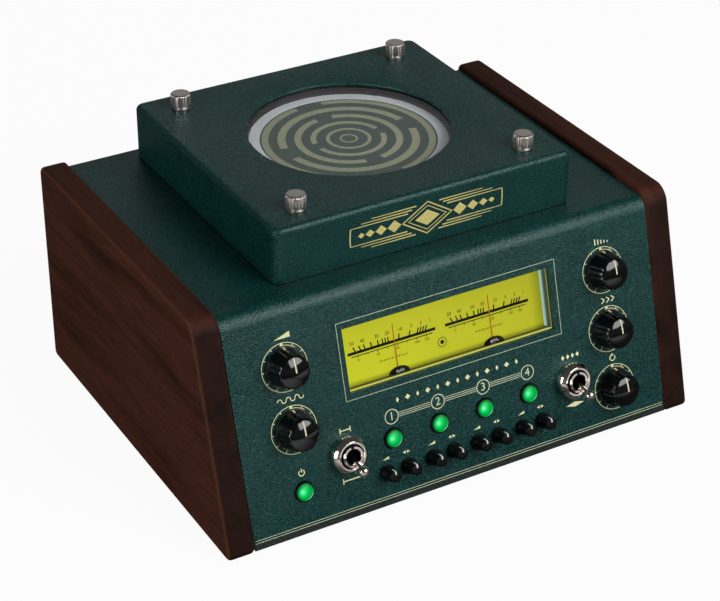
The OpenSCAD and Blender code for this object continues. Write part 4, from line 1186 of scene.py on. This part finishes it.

# %% [markdown]
# ## The meter's dial
# Behind the pane lies a yellow dial, lit from behind. Its glow fades from the lower left to the right and
# the top, and painted shade dims it close to the sill and the right wall. Object coordinates give these
# directions.

# %% Dial glow and needles
DIAL_OUT = -11.0
SILL_UP = 67.0
SILL_SHADE = 2 * MM
WALL_SHADE = (57 * MM, 63.5 * MM)
dial, tree, shader = new_finish(
    "meter_yellow", Base_Color=rgb(70, 69, 8), Roughness=0.7, Specular_IOR_Level=0.1, Emission_Strength=0.9
)
place = object_place(tree)
dial_low, dial_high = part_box("meter_dial")
parts = add_node(tree, "SeparateXYZ", {0: place}).outputs
across = spread(tree, parts["X"], 0.0, 1.0, dial_low.x, dial_high.x)
rise = spread(tree, parts["Z"], 0.0, 0.7, dial_low.z, dial_high.z)
haze = noise(tree, place, 25, 1.0)
fade = add_node(tree, "Math", {0: across, 1: rise}, operation="ADD").outputs[0]
fade = add_node(tree, "Math", {0: haze, 1: 0.3, 2: fade}, operation="MULTIPLY_ADD").outputs[0]
fade = spread(tree, fade, 0.0, 1.0, 0.1, 1.9)
light = ramp(tree, fade, (0.1, rgb(206, 208, 36)), (0.5, rgb(190, 190, 36)), (0.95, rgb(174, 172, 36)))
# Painted shade on the dial next to the sill and the right wall.
sill_z = (PANEL @ Vector((0, SILL_UP * MM, DIAL_OUT * MM))).z
sill_shade_mask = spread(tree, parts["Z"], 0.0, 1.0, sill_z, sill_z + SILL_SHADE)
light = shaded(tree, light, ramp(tree, sill_shade_mask, (0.0, grey(0.45)), (1.0, WHITE)))
wall_shade_mask = spread(tree, parts["X"], 0.0, 1.0, *WALL_SHADE)
light = shaded(tree, light, ramp(tree, wall_shade_mask, (0.0, WHITE), (1.0, (0.62, 0.66, 0.6, 1))))
tree.links.new(light, shader.inputs["Emission Color"])
dress(dial, "meter_dial")
needle_paint = moulded("needle_red", rgb(190, 92, 30), 0.4, 0.5, 900, 0.05, 0.2)
dress(needle_paint, "left_needle", "right_needle")
print("dial lit across", round((dial_high.x - dial_low.x) / MM, 1), "mm")

# %% [markdown]
# ## Scales of the meter
# Each channel has a heavy black bar with ticks that lean outwards, numbers above it, and a finer scale
# below. They are printed like the panel's lines, in black, on the dial's face.

# %% Dial scales
SCALES = ((-57.2, -3.7), (2.4, 55.3))
MARKS = {0.09: "50", 0.2: "40", 0.35: "30", 0.46: "20", 0.6: "10", 0.72: "5", 0.82: "3", 0.92: "1"}
TICKS = (0.09, 0.15, 0.2, 0.275, 0.35, 0.4, 0.43, 0.46, 0.58, 0.7, 0.79, 0.82, 0.85, 0.88)
LOW_MARKS = {1: "0", 3: "20", 5: "50", 7: "100", 8: "150"}
BAR_UP = 83.9
LOW_BAR_UP = 82.0
SIGN = (-0.6, 75.4)
dial_ink = moulded("dial_ink", rgb(14, 13, 6), 0.5, 0.6, 900, 0.05, 0.1)
bm = bmesh.new()
for left, right in SCALES:
    width = right - left
    flat_bar(bm, (left, BAR_UP), (right, BAR_UP), 1.6)
    flat_bar(bm, (left + 2, LOW_BAR_UP), (right - 2, LOW_BAR_UP), 0.5)
    for along in TICKS:
        x = left + along * width
        flat_bar(bm, (x, 84.3), (x + (along - 0.45) * 3.4, 87.2), 0.75)
    for along, text in MARKS.items():
        flat_numeral(bm, text, (left + along * width + (along - 0.5) * 4, 89.3), 2.7)
    for step in range(1, 9):
        x = left + step / 9 * width
        flat_bar(bm, (x, 81.8), (x, 80.9), 0.35)
    for step, text in LOW_MARKS.items():
        flat_numeral(bm, text, (left + step / 9 * width, 79.6), 2.0)
    middle = (left + right) / 2
    for shift in range(-7, 8):
        flat_lozenge(bm, (middle + 1.15 * shift, 75.2), 0.3, 0.5 + 0.25 * (shift % 2))
flat_arc(bm, SIGN, 2.6, 0.35)
flat_lozenge(bm, SIGN, 1.5, 1.5)
ink(bm)
make_piece("dial_scales", bm, on_panel(0, 0, DIAL_OUT), [dial_ink], "case")

# %% [markdown]
# ## The meter's lit walls
# The right wall and the sill catch the dial's light, and thin glowing liners stand in for that as painted
# light and shade: the wall runs from pale blue at the dial over a dark green painted shade to dull olive at
# the pane, the sill from a black painted shadow to yellow. An attribute that grows towards the pane drives
# each blend.

# %% Meter liners
LINER = 0.25
WALL_X = 64.0
TOP_UP = 102.6
PANE_OUT = -3.65
SILL_BACK = -8.6
DEPTH_CUTS = 15


def lit_liner(name, *stops):
    """A finish that glows by its distance from the dial."""
    finish, tree, shader = new_finish(name, Base_Color=rgb(30, 34, 30), Roughness=0.4, Emission_Strength=0.8)
    toward = add_node(tree, "Attribute", attribute_name="toward_pane").outputs["Fac"]
    tree.links.new(ramp(tree, toward, *stops), shader.inputs["Emission Color"])
    return finish


def liner(name, low, high, finish):
    """A thin plate from one corner to another, sliced along its depth."""
    low, high = Vector(low), Vector(high)
    size = high - low
    bm = bmesh.new()
    bmesh.ops.create_cube(bm, size=1)
    bm.transform(Matrix.Translation((low + high) / 2) @ Matrix.Diagonal((*size, 1)))
    deep = [edge for edge in bm.edges if abs(edge.verts[0].co.z - edge.verts[1].co.z) > size.z / 2]
    bmesh.ops.subdivide_edges(bm, edges=deep, cuts=DEPTH_CUTS)
    layer = bm.verts.layers.float.new("toward_pane")
    for vert in bm.verts:
        vert[layer] = (vert.co.z - low.z) / size.z
    make_piece(name, bm, PANEL, [finish], "case")


wall_light = lit_liner(
    "lit_wall", (0.0, rgb(190, 214, 212)), (0.3, rgb(150, 188, 188)), (0.43, rgb(72, 104, 94)),
    (0.62, rgb(46, 64, 50)), (0.84, rgb(42, 54, 42)), (0.93, rgb(96, 106, 78)), (0.98, rgb(150, 158, 118))
)
sill_light = lit_liner(
    "lit_sill", (0.0, rgb(10, 9, 3)), (0.5, rgb(22, 20, 6)), (0.64, rgb(150, 148, 40)),
    (0.8, rgb(216, 216, 100))
)
# Painted light and shade on the meter's right wall and sill.
liner("meter_wall_painted_light", (WALL_X - LINER, SILL_UP, DIAL_OUT + 0.1), (WALL_X, TOP_UP, PANE_OUT), wall_light)
liner("meter_sill_painted_light", (-WALL_X, SILL_UP, SILL_BACK), (WALL_X, SILL_UP + LINER, PANE_OUT), sill_light)

# %% [markdown]
# ## Pivot covers
# A low black dome on the sill hides each needle's pivot: a spun dome, pressed flatter and cut level.

# %% Pivot domes
DOME_PROFILE = [(0, 0), (6.4, 0), (6.4, 0.3), (5.8, 1.1), (4.6, 1.8), (2.5, 2.25), (0, 2.4)]
DOME_PRESS = 0.55
bm = bmesh.new()
for name in ("left_needle", "right_needle"):
    turned(bm, DOME_PROFILE, (panel_spot(pivot(name + "_swing")).x, 0))
bmesh.ops.scale(bm, verts=bm.verts, vec=(1, DOME_PRESS, 1))
bmesh.ops.remove_doubles(bm, verts=bm.verts, dist=0.0005)
whole = [*bm.verts, *bm.edges, *bm.faces]
bmesh.ops.bisect_plane(bm, geom=whole, plane_co=(0, 0, 0), plane_no=(0, -1, 0), clear_outer=True)
close_rims(bm)
place = on_panel(0, SILL_UP + LINER, SILL_BACK)
make_piece("pivot_domes", bm, place, [knob_black], "case", ["meter_pivot_covers"], 50)

# %% [markdown]
# ## The drum
# Under the round window turns the magnetic drum. Its face is a grey-green disc, and broken rings printed
# in a dull gold show that it turns: the gaps of neighbouring rings stand at right angles.

# %% Drum face and its rings
BROKEN_RINGS = ((46.0, 3.8, 10), (37.0, 4.4, 100), (28.0, 3.8, 10), (19.5, 3.0, 100))
RING_SWEEP = 160
drum_face = moulded("drum_face", rgb(58, 74, 70), 0.5, 0.65, 500, 0.05, 0.2)
dress(drum_face, "drum_disc")
drum_gold = moulded("drum_gold", rgb(152, 152, 124), 0.5, 0.65, 700, 0.05, 0.2)
hub = pivot("drum_spin")
hub.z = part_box("drum_disc")[1].z
bm = bmesh.new()
for radius, width, first in BROKEN_RINGS:
    for start in (first, first + 180):
        flat_arc(bm, (0, 0), radius, width, start, start + RING_SWEEP, 96)
flat_arc(bm, (0, 0), 11.5, 2.0)
flat_arc(bm, (0, 0), 4.5, 1.2)
ink(bm)
make_piece("drum_rings", bm, Matrix.Translation(hub), [drum_gold], "drum")

# %% [markdown]
# ## Nuts at the back
# Each jack on the back panel is held by a nickel hexagon nut. A six-sided ring, eased on top, is enough.

# %% Jack nuts
JACKS = (-85, -59, 59, 85)
JACK_RISE = 58.0
JACK_NUT = [(4.75, 0.0), (7.5, 0.0), (7.5, 1.9), (7.0, 2.3), (5.2, 2.35), (4.75, 2.0)]
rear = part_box("rear_panel")[1].y
BACK = frame_at((0, rear, case_low.z + JACK_RISE * MM), (-1, 0, 0), (0, 0, 1), (0, 1, 0))
bm = bmesh.new()
for x in JACKS:
    turned(bm, JACK_NUT, (x, 0), steps=6)
make_piece("jack_nuts", bm, BACK, [nickel], "case", smooth=20)
